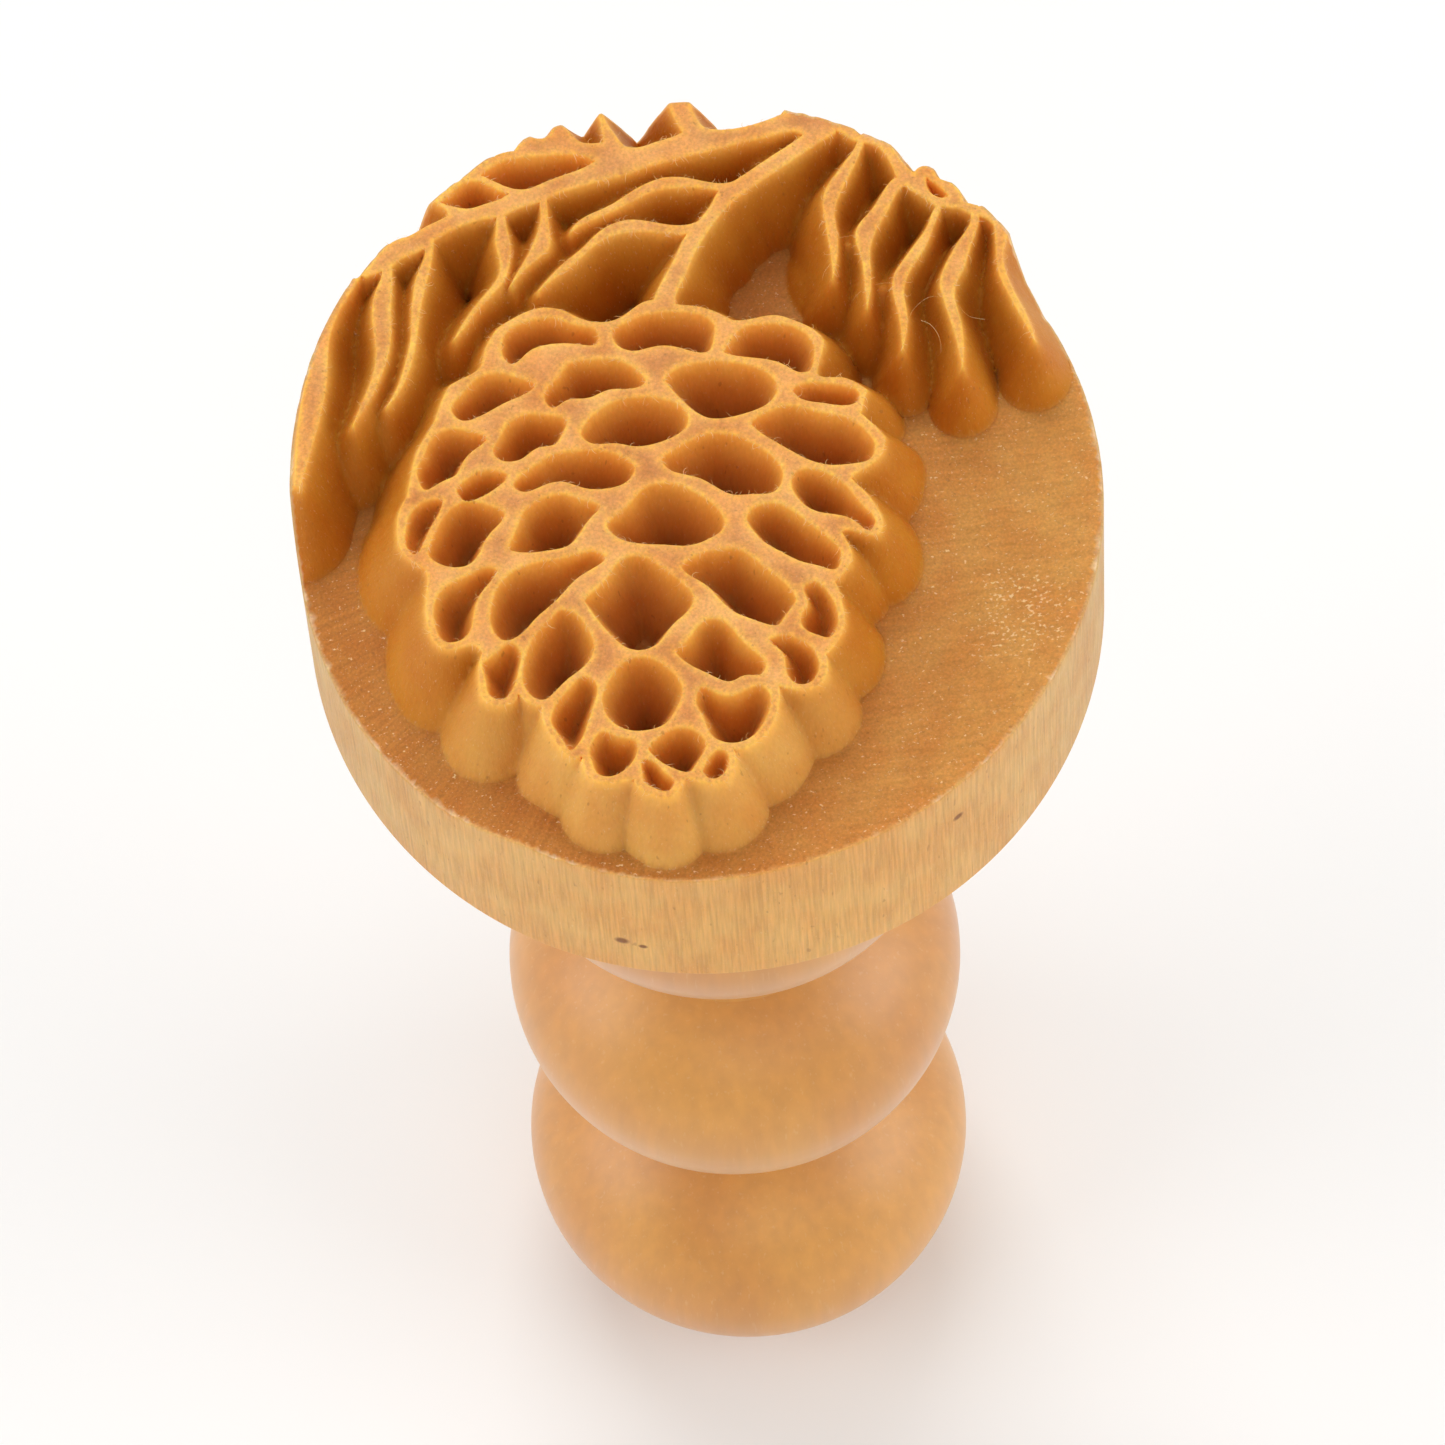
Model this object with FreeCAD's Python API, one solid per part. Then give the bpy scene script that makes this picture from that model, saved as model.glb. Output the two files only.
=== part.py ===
import FreeCAD, Part
import math
import os

# Turned wooden hand stamp for butter, standing on the end of its handle with the carved face up.
# Millimetres.  +Z runs along the turning axis from the foot to the carved face, and the origin is
# the centre of the flat foot.  The carved branch runs along +X at the +Y side of the face.

# ---- driving dimensions ----
HEAD_RADIUS = 16.0
HEAD_THICKNESS = 9.9        # back of the head to the carved ground
RELIEF_HEIGHT = 3.8         # carved ground to the flat tops of the relief
CELL_DEPTH = 2.8            # pockets between the scales of the cone
WEB_DROP = 1.1              # low webs between needles, below the flat tops
BALL_RADIUS = 9.75          # turned balls of the handle, a little flattened along the axis
BALL_HALF_HEIGHT = 8.0
BALL_PITCH = 20.5
BALL_COUNT = 3
FOOT_RADIUS = 5.07          # flat turned on the last ball
WAIST_RADIUS = 5.0          # between two balls
WAIST_COVE = 0.6            # how far the cove between two balls dips below the waist
NECK_LENGTH = 9.1           # full height of the last ball to the back of the head
NECK_RADIUS = 5.0           # neck, partway up its sweep from the last ball to the collar
NECK_SWEEP = 0.55           # how far up that is, as a share of the neck
COLLAR_RADIUS = 8.6         # shoulder that the head is glued to
COLLAR_THICKNESS = 1.3
DOWEL_RADIUS = 2.5
DOWEL_IN_HEAD = 7.0
DOWEL_IN_HANDLE = 9.0
DOWEL_FLUTES = 8
FLUTE_DEPTH = 0.35
GLUE_GAP = 0.05             # between the dowel and the sides of its bores
BORE_SPARE = 0.3            # air left above the dowel in the head
EDGE_ROUND = 0.35           # broken edge at the back of the head
DOWEL_CHAMFER = 0.5
RELIEF_ROOT = 0.5           # the relief is modelled this much into the head, so that the two fuse
OVERCUT = 1.0               # cutting tools reach this far past the surface they enter

# ---- derived heights ----
LOWEST_BALL_Z = BALL_HALF_HEIGHT * math.sqrt(1 - (FOOT_RADIUS / BALL_RADIUS) ** 2)
TOP_BALL_Z = LOWEST_BALL_Z + (BALL_COUNT - 1) * BALL_PITCH
HEAD_BACK_Z = TOP_BALL_Z + BALL_HALF_HEIGHT + NECK_LENGTH
GROUND_Z = HEAD_BACK_Z + HEAD_THICKNESS
RELIEF_TOP_Z = GROUND_Z + RELIEF_HEIGHT

# The carving is drawn flat, seen from above, and sits a little off the turning axis.
CARVING_SHIFT_Y = -0.32

# ---- the carving, as closed outlines ----
# A smooth curve runs through the points of an outline, and a point with S after it is a corner.
S = "corner"

CONE = [
    (-1.1, 7.75, S), (0.3, 7.38), (1.0, 7.17), (1.5, 6.87), (1.95, 6.6, S),
    (2.7, 6.6), (3.6, 6.67), (4.3, 6.4), (5.0, 5.97), (5.42, 5.45, S),
    (5.3, 4.9), (5.1, 4.35), (5.05, 3.95, S),
    (5.5, 3.8), (6.05, 3.75), (6.55, 3.48), (6.95, 3.15, S),
    (6.8, 2.7), (6.62, 2.15, S), (6.95, 1.8), (7.25, 1.4), (7.5, 1.05, S),
    (7.42, 0.65), (7.2, 0.2), (6.7, -0.15), (6.02, -0.6, S),
    (6.35, -1.0), (6.7, -1.5), (7.0, -2.1), (7.1, -2.7), (6.9, -3.08), (6.3, -2.97), (5.5, -2.85, S),
    (5.68, -3.35), (5.8, -3.9), (5.55, -4.45), (5.05, -4.95, S),
    (5.2, -5.5), (5.3, -6.2), (5.28, -6.8), (5.05, -7.35), (4.45, -8.0, S),
    (4.5, -8.5), (4.3, -9.1), (3.7, -9.45), (3.1, -9.35), (2.55, -9.2, S),
    (2.5, -9.8), (2.3, -10.5), (1.9, -11.15), (1.3, -11.6), (0.58, -11.7, S),
    (0.58, -12.4), (0.3, -12.9), (-0.3, -13.08), (-0.9, -12.9), (-1.35, -12.75, S),
    (-1.6, -13.1), (-2.0, -13.5), (-2.7, -13.35), (-3.2, -13.0), (-3.35, -12.6, S),
    (-4.1, -12.7), (-4.9, -12.55), (-5.25, -12.1), (-5.3, -11.5, S),
    (-5.75, -11.5), (-6.15, -11.05), (-6.5, -10.4), (-6.7, -9.8), (-6.7, -9.25, S),
    (-7.2, -9.05), (-7.6, -8.65, S),
    (-7.9, -9.0), (-8.4, -9.08), (-8.95, -8.75), (-9.08, -8.0), (-9.05, -7.3), (-8.87, -6.75, S),
    (-9.3, -6.42), (-9.9, -6.52), (-10.5, -6.4), (-10.85, -5.8), (-10.95, -5.0), (-10.9, -4.2),
    (-10.8, -3.5), (-10.9, -3.0, S),
    (-11.35, -2.65), (-11.7, -2.2), (-11.85, -1.4), (-11.75, -0.6), (-11.4, 0.1, S),
    (-11.22, 0.8), (-11.05, 1.5), (-10.65, 2.4), (-10.1, 3.25), (-9.8, 4.0), (-9.4, 4.75, S),
    (-8.8, 5.05), (-8.15, 5.45), (-7.95, 6.05), (-7.75, 6.5), (-7.3, 7.1, S),
    (-6.5, 7.55), (-5.7, 7.8), (-4.8, 7.65), (-4.1, 7.22), (-3.1, 6.97), (-2.4, 7.15), (-1.9, 7.5),
]

STEM = [
    (-0.9, 7.3, S), (-1.1, 7.8, S), (-0.7, 8.6), (-0.2, 9.4), (0.38, 10.5), (0.95, 11.1),
    (1.5, 11.8), (1.85, 12.35), (2.3, 12.6), (3.0, 13.0), (3.8, 13.5), (4.6, 13.97), (5.25, 14.4, S),
    (5.6, 15.0, S), (6.6, 14.8, S), (6.6, 14.42, S),
    (6.0, 14.1), (5.0, 13.5), (3.9, 12.82), (2.9, 12.2), (1.9, 11.4), (1.1, 10.4), (0.5, 9.4),
    (0.0, 8.4), (-0.28, 7.8), (-0.2, 7.3, S),
]

BRANCH = [
    (6.6, 14.42, S), (5.3, 14.47, S), (5.0, 14.63), (4.2, 14.55), (3.2, 14.38), (2.2, 14.2),
    (1.2, 14.0), (0.2, 13.82), (-0.8, 13.62), (-1.8, 13.35), (-2.8, 13.15), (-3.8, 12.93),
    (-4.6, 12.72), (-5.15, 12.45, S),
    (-5.5, 12.38), (-6.0, 12.28), (-6.6, 12.05), (-6.9, 11.9, S),
    (-7.7, 11.87), (-8.3, 11.72), (-9.0, 11.45), (-9.6, 11.12), (-9.9, 10.9, S),
    (-10.5, 10.62), (-11.0, 10.42), (-11.4, 10.1), (-11.8, 9.95), (-12.4, 9.75, S),
    (-17.0, 12.5, S), (-9.0, 19.0, S), (7.0, 19.0, S),
]

UPPER_LEAF = [
    (2.7, 12.85, S), (2.2, 12.6), (1.5, 12.68), (0.7, 12.92), (-0.2, 13.06), (-1.0, 12.88),
    (-1.8, 12.47), (-2.7, 11.97), (-3.5, 11.65), (-4.2, 11.0, S),
    (-3.4, 11.42), (-2.4, 11.8), (-1.5, 12.22), (-0.6, 12.53), (0.4, 12.56), (1.2, 12.47),
    (1.75, 12.3, S), (2.2, 12.0, S),
]

LOWER_LEAF = [
    (1.3, 11.35, S), (0.8, 11.0), (0.1, 10.92), (-0.9, 11.15), (-1.9, 11.33), (-2.9, 11.02),
    (-3.6, 10.4), (-4.5, 9.7), (-5.2, 9.05), (-5.65, 8.55, S),
    (-4.9, 9.1), (-4.0, 9.75), (-3.2, 10.42), (-2.4, 10.75), (-1.3, 10.78), (-0.3, 10.62),
    (0.38, 10.5, S), (0.9, 10.3, S),
]

LEFT_RIM = [
    (-12.55, 9.9, S), (-13.2, 8.95), (-13.65, 8.2), (-13.95, 7.45), (-14.1, 6.7), (-14.2, 5.7),
    (-14.4, 4.6), (-14.7, 3.5), (-15.05, 2.4), (-15.55, 0.9, S), (-15.75, 1.0, S), (-15.36, 4.06),
    (-14.7, 6.6), (-14.25, 7.75), (-13.55, 8.9), (-12.7, 10.05, S),
]

RIGHT_RIM = [
    (6.3, 14.6, S), (7.0, 14.27), (7.4, 13.97), (8.1, 13.75), (8.5, 13.3), (8.72, 12.8),
    (8.9, 12.1, S), (9.4, 11.65), (9.9, 11.25), (10.3, 10.85, S),
    (10.8, 10.78), (11.3, 10.65), (11.75, 10.35), (12.2, 10.2), (12.6, 9.7), (12.75, 9.3, S),
    (17.0, 11.0, S), (7.0, 19.0, S),
]

# Needles, from the left rim round to the right rim.
NEEDLES = [
    [
        (-12.0, 10.4, S), (-11.75, 9.85), (-12.0, 9.2), (-12.2, 8.5), (-12.25, 7.5), (-12.2, 6.5),
        (-12.35, 5.6), (-12.75, 4.6), (-13.3, 3.4, S),
        (-12.5, 4.6), (-12.0, 5.6), (-11.7, 6.5), (-11.55, 7.5), (-11.5, 8.5), (-11.4, 9.3),
        (-11.35, 10.2), (-11.2, 10.8, S),
    ],
    [
        (-10.1, 11.2, S), (-10.0, 10.5), (-10.3, 9.8), (-10.58, 8.8), (-10.7, 7.8), (-10.8, 6.9),
        (-11.05, 5.95), (-11.4, 5.0), (-11.9, 4.1, S),
        (-11.25, 4.95), (-10.85, 5.9), (-10.58, 6.9), (-10.42, 7.8), (-10.2, 8.8), (-9.95, 9.6),
        (-9.75, 10.4), (-9.6, 11.3, S),
    ],
    [
        (-7.1, 12.3, S), (-7.1, 11.5), (-7.18, 10.8), (-7.08, 10.1), (-7.1, 9.5), (-7.5, 8.85),
        (-8.05, 8.25), (-8.55, 7.6), (-9.05, 6.8, S),
        (-8.4, 7.55), (-7.85, 8.2), (-7.3, 8.75), (-6.88, 9.3), (-6.7, 9.9), (-6.62, 10.6),
        (-6.7, 11.3), (-6.68, 12.3, S),
    ],
    [
        (-5.4, 12.8, S), (-5.3, 12.0), (-5.42, 11.3), (-5.7, 10.6), (-6.0, 10.05), (-6.35, 9.5),
        (-6.7, 8.9, S),
        (-6.1, 9.55), (-5.55, 10.0), (-5.13, 10.35), (-5.02, 11.0), (-5.05, 11.8), (-5.0, 12.8, S),
    ],
    [
        (7.3, 14.5, S), (7.4, 13.85), (6.95, 13.2), (6.45, 12.55), (6.05, 12.0), (5.88, 11.4),
        (5.88, 10.7), (5.97, 9.7), (6.02, 8.9), (6.0, 8.1, S),
        (6.17, 8.7), (6.28, 9.4), (6.32, 10.1), (6.27, 10.8), (6.42, 11.45), (6.77, 12.1),
        (7.12, 12.75), (7.45, 13.4), (7.85, 14.2, S),
    ],
    [
        (9.2, 12.2, S), (8.75, 12.2), (8.25, 11.6), (7.65, 10.8), (7.1, 10.1), (7.05, 9.6),
        (7.2, 8.9), (7.25, 8.0), (7.25, 7.2), (7.25, 6.7, S),
        (7.4, 7.3), (7.5, 8.2), (7.55, 9.2), (7.85, 10.0), (8.35, 10.8), (8.75, 11.5), (9.15, 11.9, S),
    ],
    [
        (10.5, 11.0, S), (10.22, 10.7), (9.95, 10.1), (9.45, 9.4), (8.95, 8.75), (8.45, 8.05),
        (8.32, 7.5), (8.4, 6.8), (8.5, 6.0), (8.52, 5.3), (8.5, 4.8, S),
        (8.65, 5.3), (8.78, 6.0), (8.75, 6.8), (8.75, 7.35), (8.95, 7.95), (9.35, 8.6), (9.8, 9.25),
        (10.05, 9.8), (10.3, 10.35), (10.6, 11.0, S),
    ],
    [
        (11.6, 10.7, S), (11.6, 10.0), (11.2, 9.4), (10.8, 8.8), (10.4, 8.1), (10.2, 7.5),
        (10.3, 6.8), (10.45, 6.1), (10.6, 5.3), (10.72, 4.5), (10.78, 3.8, S),
        (10.88, 4.6), (10.9, 5.4), (10.8, 6.2), (10.72, 7.0), (10.9, 7.6), (11.2, 8.1), (11.45, 8.8),
        (11.7, 9.4), (11.9, 9.95), (12.0, 10.6, S),
    ],
    [
        (12.45, 10.2, S), (12.55, 9.3), (12.52, 8.5), (12.55, 7.8), (12.75, 7.1), (13.05, 6.35),
        (13.35, 5.6), (13.7, 4.7, S),
        (13.5, 5.7), (13.2, 6.5), (12.95, 7.2), (12.78, 7.9), (12.75, 8.6), (12.95, 9.2),
        (13.2, 9.8, S),
    ],
]

# Low webs that join three of the right-hand needles side by side.
WEBS = [
    [(6.25, 9.95, S), (6.65, 9.72), (7.1, 9.95, S), (7.2, 9.0, S), (6.75, 9.2), (6.25, 8.9, S)],
    [(7.5, 8.35, S), (7.95, 7.78), (8.42, 8.1, S), (8.38, 7.2, S), (7.9, 7.4), (7.45, 7.5, S)],
]

# Pockets between the scales of the cone, row by row from the stem down.
CELLS = [
    [(-7.25, 6.35), (-6.95, 6.95), (-6.1, 7.3), (-5.2, 7.35), (-4.2, 6.95), (-3.45, 6.6),
     (-3.45, 6.1), (-4.2, 6.1), (-5.3, 6.2), (-6.2, 5.95), (-6.95, 5.5), (-7.2, 5.75)],
    [(-2.9, 6.4), (-2.55, 5.8), (-2.0, 5.62), (-1.2, 5.75), (-0.4, 5.65), (0.3, 5.38),
     (0.85, 5.35), (1.15, 5.95), (1.15, 6.55), (0.6, 7.0), (-0.4, 7.2), (-1.5, 7.17), (-2.4, 6.85)],
    [(1.55, 5.2), (2.1, 5.02), (3.1, 4.8), (3.8, 4.5), (4.4, 4.12), (4.75, 4.15), (5.0, 4.7),
     (5.03, 5.3), (4.75, 5.8), (4.0, 6.25), (3.0, 6.35), (2.2, 6.2), (1.75, 5.75)],
    [(-9.35, 3.5), (-8.95, 3.2), (-8.1, 3.42), (-7.2, 3.85), (-6.4, 4.17), (-6.05, 4.45),
     (-6.6, 4.85), (-7.4, 5.15), (-8.3, 5.0), (-8.95, 4.4)],
    [(-5.65, 3.65), (-5.4, 3.45), (-4.9, 3.7), (-4.0, 3.75), (-3.15, 4.03), (-2.3, 4.0),
     (-1.7, 4.25), (-1.95, 4.75), (-2.8, 5.3), (-3.8, 5.4), (-4.7, 5.27), (-5.2, 4.7)],
    [(-0.9, 4.15), (-0.5, 3.55), (0.1, 2.85), (0.6, 2.5), (1.4, 2.42), (2.4, 2.62),
     (3.15, 2.98), (3.45, 3.5), (3.2, 4.15), (2.3, 4.65), (1.2, 4.9), (0.0, 4.85), (-0.65, 4.6)],
    [(4.05, 3.3), (4.4, 2.95), (5.2, 2.72), (6.1, 2.54), (6.62, 2.75), (6.65, 3.05), (6.1, 3.4),
     (5.2, 3.62), (4.4, 3.62)],
    [(-10.9, 0.75), (-10.6, 0.35), (-10.0, 0.65), (-9.4, 0.9), (-9.0, 1.55), (-8.5, 1.98),
     (-8.1, 2.35), (-8.7, 2.72), (-9.6, 2.88), (-10.25, 2.55), (-10.7, 1.75)],
    [(-7.85, 1.6), (-7.5, 1.32), (-6.75, 1.38), (-6.1, 1.78), (-5.5, 1.85), (-5.05, 2.4),
     (-4.9, 2.85), (-5.6, 3.15), (-6.5, 3.25), (-7.2, 2.95), (-7.65, 2.3)],
    [(-4.33, 2.05), (-4.0, 1.78), (-3.1, 1.7), (-2.3, 1.5), (-1.4, 1.58), (-0.6, 1.88),
     (-0.15, 2.35), (-0.35, 3.05), (-1.2, 3.5), (-2.2, 3.63), (-3.3, 3.4), (-4.0, 2.9)],
    [(2.35, 1.98), (2.9, 1.45), (3.7, 0.85), (4.5, 0.3), (5.2, 0.05), (6.2, 0.02),
     (6.9, 0.2), (7.1, 0.6), (6.8, 1.4), (6.1, 2.0), (5.0, 2.37), (4.0, 2.72), (3.1, 2.6)],
    [(-9.42, 0.1), (-9.1, -0.25), (-8.5, -0.15), (-7.8, 0.25), (-7.38, 0.7), (-7.8, 0.95),
     (-8.6, 0.95), (-9.15, 0.6)],
    [(-7.12, 0.1), (-6.75, -0.07), (-6.0, 0.15), (-5.2, 0.22), (-4.4, -0.12), (-3.5, -0.2),
     (-2.7, 0.05), (-2.38, 0.6), (-2.9, 1.15), (-3.8, 1.47), (-4.8, 1.52), (-5.7, 1.38),
     (-6.5, 0.9)],
    [(-1.3, 0.75), (-0.9, 0.3), (0.0, -0.03), (0.7, -0.5), (1.3, -0.88), (2.2, -0.95),
     (3.0, -0.9), (3.4, -0.3), (3.2, 0.4), (2.5, 1.1), (1.6, 1.65), (0.5, 1.78), (-0.4, 1.45),
     (-1.05, 1.1)],
    [(3.68, -0.55), (3.95, -0.1), (4.6, -0.08), (5.3, -0.4), (5.95, -1.05), (6.5, -1.9),
     (6.85, -2.6), (6.6, -2.88), (6.1, -2.5), (5.3, -2.1), (4.6, -1.9), (4.05, -1.5),
     (3.75, -1.0)],
    [(-10.05, -0.1), (-10.7, -0.12), (-11.3, -0.55), (-11.55, -1.3), (-11.52, -2.1),
     (-11.25, -2.35), (-10.85, -1.9), (-10.4, -1.05), (-10.05, -0.45)],
    [(-10.62, -2.6), (-10.1, -2.95), (-9.2, -3.0), (-8.75, -2.6), (-8.3, -1.8), (-7.85, -1.35),
     (-7.6, -1.0), (-8.3, -0.45), (-9.2, -0.28), (-9.9, -0.7), (-10.4, -1.5)],
    [(-7.42, -2.55), (-6.9, -2.67), (-6.0, -2.65), (-5.2, -2.5), (-4.6, -1.85), (-4.15, -1.3),
     (-3.85, -1.0), (-4.5, -0.6), (-5.3, -0.28), (-6.1, -0.4), (-6.85, -0.85), (-7.25, -1.7)],
    [(-3.62, -1.95), (-3.1, -2.45), (-2.4, -2.68), (-1.4, -2.82), (-0.5, -2.92), (0.3, -2.7),
     (0.95, -2.2), (0.8, -1.55), (0.2, -0.9), (-0.6, -0.35), (-1.4, -0.15), (-2.2, -0.38),
     (-2.9, -1.1)],
    [(1.85, -1.85), (2.2, -1.48), (3.0, -1.4), (3.7, -1.8), (4.4, -2.5), (5.1, -3.2),
     (5.42, -3.85), (5.13, -4.43), (4.6, -4.28), (3.8, -3.98), (3.0, -3.45), (2.35, -2.95),
     (1.98, -2.4)],
    [(-8.1, -3.25), (-8.6, -3.15), (-9.4, -3.5), (-10.2, -3.85), (-10.65, -4.6), (-10.65, -5.5),
     (-10.35, -6.15), (-9.85, -6.22), (-9.35, -5.9), (-9.05, -4.9), (-8.6, -4.05), (-8.2, -3.6)],
    [(-3.85, -3.05), (-4.3, -2.8), (-5.2, -2.95), (-6.4, -3.1), (-7.4, -3.38), (-8.1, -4.0),
     (-8.45, -5.0), (-8.4, -5.9), (-8.05, -6.3), (-7.3, -6.1), (-6.7, -5.5), (-5.9, -4.85),
     (-5.1, -4.05), (-4.2, -3.5)],
    [(-4.75, -4.95), (-4.35, -5.7), (-3.8, -6.5), (-3.25, -7.05), (-2.6, -7.2), (-2.0, -6.95),
     (-1.4, -6.25), (-0.8, -5.75), (-0.48, -5.2), (-0.85, -4.5), (-1.6, -3.8), (-2.4, -3.2),
     (-3.0, -3.2), (-3.7, -3.85), (-4.4, -4.55)],
    [(-0.8, -3.68), (-0.1, -3.3), (0.8, -3.18), (1.5, -3.28), (2.1, -3.8), (2.8, -4.5),
     (3.35, -5.15), (3.5, -5.55), (3.1, -6.15), (2.72, -6.6), (2.0, -6.4), (1.2, -6.0),
     (0.5, -5.3), (-0.1, -4.55)],
    [(3.93, -4.95), (4.3, -4.87), (4.8, -5.4), (5.05, -6.1), (5.03, -6.8), (4.7, -7.28),
     (4.1, -7.1), (3.65, -6.75), (3.62, -6.3), (3.92, -5.75)],
    [(-8.85, -7.15), (-8.3, -6.75), (-7.65, -6.5), (-7.42, -6.75), (-7.5, -7.6), (-7.75, -8.35),
     (-8.3, -8.82), (-8.75, -8.55), (-8.85, -8.0)],
    [(-5.6, -5.2), (-5.1, -5.45), (-4.65, -6.2), (-4.5, -6.9), (-4.85, -7.6), (-5.5, -8.08),
     (-6.1, -8.6), (-6.65, -8.97), (-7.15, -8.7), (-7.4, -8.1), (-7.2, -7.0), (-6.75, -6.15),
     (-6.15, -5.55)],
    [(-1.32, -7.3), (-0.7, -6.7), (0.0, -6.12), (0.45, -6.15), (1.1, -6.85), (1.7, -7.6),
     (2.1, -8.3), (1.9, -8.62), (1.3, -8.62), (0.7, -8.83), (0.1, -8.6), (-0.6, -8.15),
     (-1.15, -7.7)],
    [(2.38, -7.15), (3.0, -7.05), (3.6, -7.35), (4.1, -7.9), (4.2, -8.5), (3.95, -9.0),
     (3.5, -9.2), (3.05, -9.0), (2.85, -8.3), (2.65, -7.6)],
    [(-4.85, -8.15), (-4.52, -8.5), (-4.7, -9.4), (-5.0, -10.2), (-5.45, -11.0),
     (-5.72, -11.2), (-6.0, -10.8), (-6.42, -9.85), (-6.1, -9.1), (-5.5, -8.45)],
    [(-4.38, -9.3), (-4.1, -10.05), (-3.5, -10.5), (-2.7, -10.6), (-2.0, -10.4), (-1.5, -9.8),
     (-1.2, -8.9), (-1.6, -8.15), (-2.4, -7.55), (-3.2, -7.55), (-3.9, -8.15)],
    [(-0.68, -9.25), (-0.4, -8.97), (0.1, -9.25), (0.7, -9.4), (1.3, -9.2), (1.85, -9.1),
     (2.2, -9.5), (2.1, -10.2), (1.6, -11.0), (1.0, -11.38), (0.3, -11.38), (-0.25, -11.0),
     (-0.55, -10.1)],
    [(-5.0, -11.5), (-4.85, -10.85), (-4.4, -10.5), (-3.9, -10.75), (-3.15, -11.05),
     (-3.15, -11.5), (-3.7, -12.2), (-4.2, -12.42), (-4.75, -12.27)],
    [(-2.68, -11.25), (-2.1, -10.8), (-1.4, -10.6), (-0.75, -10.85), (-0.45, -11.4),
     (-0.8, -12.05), (-1.2, -12.5), (-1.75, -12.32), (-2.45, -11.8)],
    [(-0.68, -12.45), (-0.4, -11.95), (0.0, -11.65), (0.33, -11.8), (0.35, -12.35),
     (0.05, -12.75), (-0.45, -12.82)],
    [(-3.05, -12.3), (-2.85, -11.8), (-2.5, -11.95), (-2.1, -12.45), (-1.8, -12.85),
     (-2.05, -13.22), (-2.6, -13.05), (-3.0, -12.75)],
]

# Pockets between the branch and the rim, closed by a thin land at the rim.
RIM_POCKETS = [
    [(-7.58, 13.8, S), (-7.35, 14.02), (-6.95, 14.25), (-6.2, 14.42), (-5.4, 14.46), (-4.8, 14.46),
     (-4.1, 14.42), (-3.42, 14.27), (-3.0, 14.02, S), (-3.4, 13.8), (-4.0, 13.6), (-4.7, 13.4),
     (-5.3, 13.18), (-5.9, 13.03), (-6.5, 13.17), (-7.0, 13.45)],
    [(-9.28, 12.78, S), (-8.8, 13.17), (-8.25, 13.55), (-7.75, 13.58), (-7.2, 13.28), (-6.78, 13.02),
     (-6.5, 12.9, S), (-6.85, 12.7), (-7.5, 12.52), (-8.1, 12.38), (-8.65, 12.5), (-9.05, 12.65)],
    [(10.05, 12.15, S), (10.4, 11.85), (10.7, 11.52), (10.85, 11.25, S), (10.55, 11.2), (10.2, 11.4),
     (10.0, 11.75)],
]

# Places where the rim is cut away down to the ground, from right to left.
RIM_NOTCHES = [
    [(10.36, 12.47, S), (10.52, 12.07), (10.93, 11.83), (11.18, 11.58), (11.33, 11.29),
     (11.38, 10.95, S), (11.83, 10.78), (12.3, 10.58, S), (13.0, 12.0, S), (12.0, 13.5, S)],
    [(8.72, 13.72, S), (8.94, 13.22), (9.3, 12.66), (9.55, 12.36, S), (9.75, 12.58),
     (10.03, 12.66, S), (10.36, 12.5, S), (11.0, 15.0, S), (9.0, 16.0, S)],
    [(7.25, 14.62, S), (7.53, 14.21, S), (7.72, 14.33, S), (7.9, 14.6, S), (7.6, 15.5, S)],
    [(0.95, 16.4, S), (0.97, 16.0), (1.1, 15.59), (1.32, 15.2), (1.64, 15.02, S), (2.3, 14.95),
     (3.0, 15.0), (3.8, 15.18), (4.6, 15.45, S), (5.0, 18.0, S), (0.9, 18.0, S)],
    [(-2.6, 16.3, S), (-2.48, 15.75), (-2.2, 15.2), (-1.82, 14.6, S), (-1.25, 14.47), (-0.63, 14.62),
     (0.1, 14.8), (0.54, 14.97, S), (0.36, 15.44), (0.15, 16.0), (0.0, 16.5, S), (0.0, 18.0, S),
     (-2.6, 18.0, S)],
    [(-4.3, 16.0, S), (-4.1, 15.58), (-3.89, 15.31), (-3.72, 15.06), (-3.5, 14.9), (-3.25, 14.83),
     (-2.95, 14.8), (-2.62, 14.81, S), (-2.63, 15.4), (-2.78, 16.3, S), (-2.8, 18.0, S),
     (-4.4, 18.0, S)],
    [(-5.65, 15.5, S), (-5.36, 15.24), (-5.05, 15.19), (-4.82, 15.26), (-4.6, 15.6, S),
     (-4.6, 18.0, S), (-5.8, 18.0, S)],
    [(-9.5, 12.85, S), (-9.06, 13.2), (-8.59, 13.53), (-8.0, 13.92), (-7.41, 14.38), (-6.72, 14.68),
     (-6.15, 14.75, S), (-5.85, 15.12), (-5.6, 15.32, S), (-5.75, 18.0, S), (-13.0, 15.0, S)],
    [(-9.5, 12.85, S), (-9.0, 12.4, S), (-8.96, 12.16, S), (-9.35, 11.98), (-9.7, 11.83),
     (-10.2, 11.6), (-10.68, 11.37, S), (-11.43, 11.07), (-11.9, 10.62), (-12.39, 10.07),
     (-12.72, 9.74, S), (-14.5, 10.0, S), (-13.0, 15.0, S)],
]


# ---- flat outlines and prisms ----
def vector(point, z=0.0):
    """A drawn point as a vector on the blank, at height z."""
    return FreeCAD.Vector(point[0], point[1] + CARVING_SHIFT_Y, z)


def smooth_edge(points, closed):
    """One smooth curve through the points."""
    curve = Part.BSplineCurve()
    curve.interpolate(Points=points, PeriodicFlag=closed)
    return curve.toShape()


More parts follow.
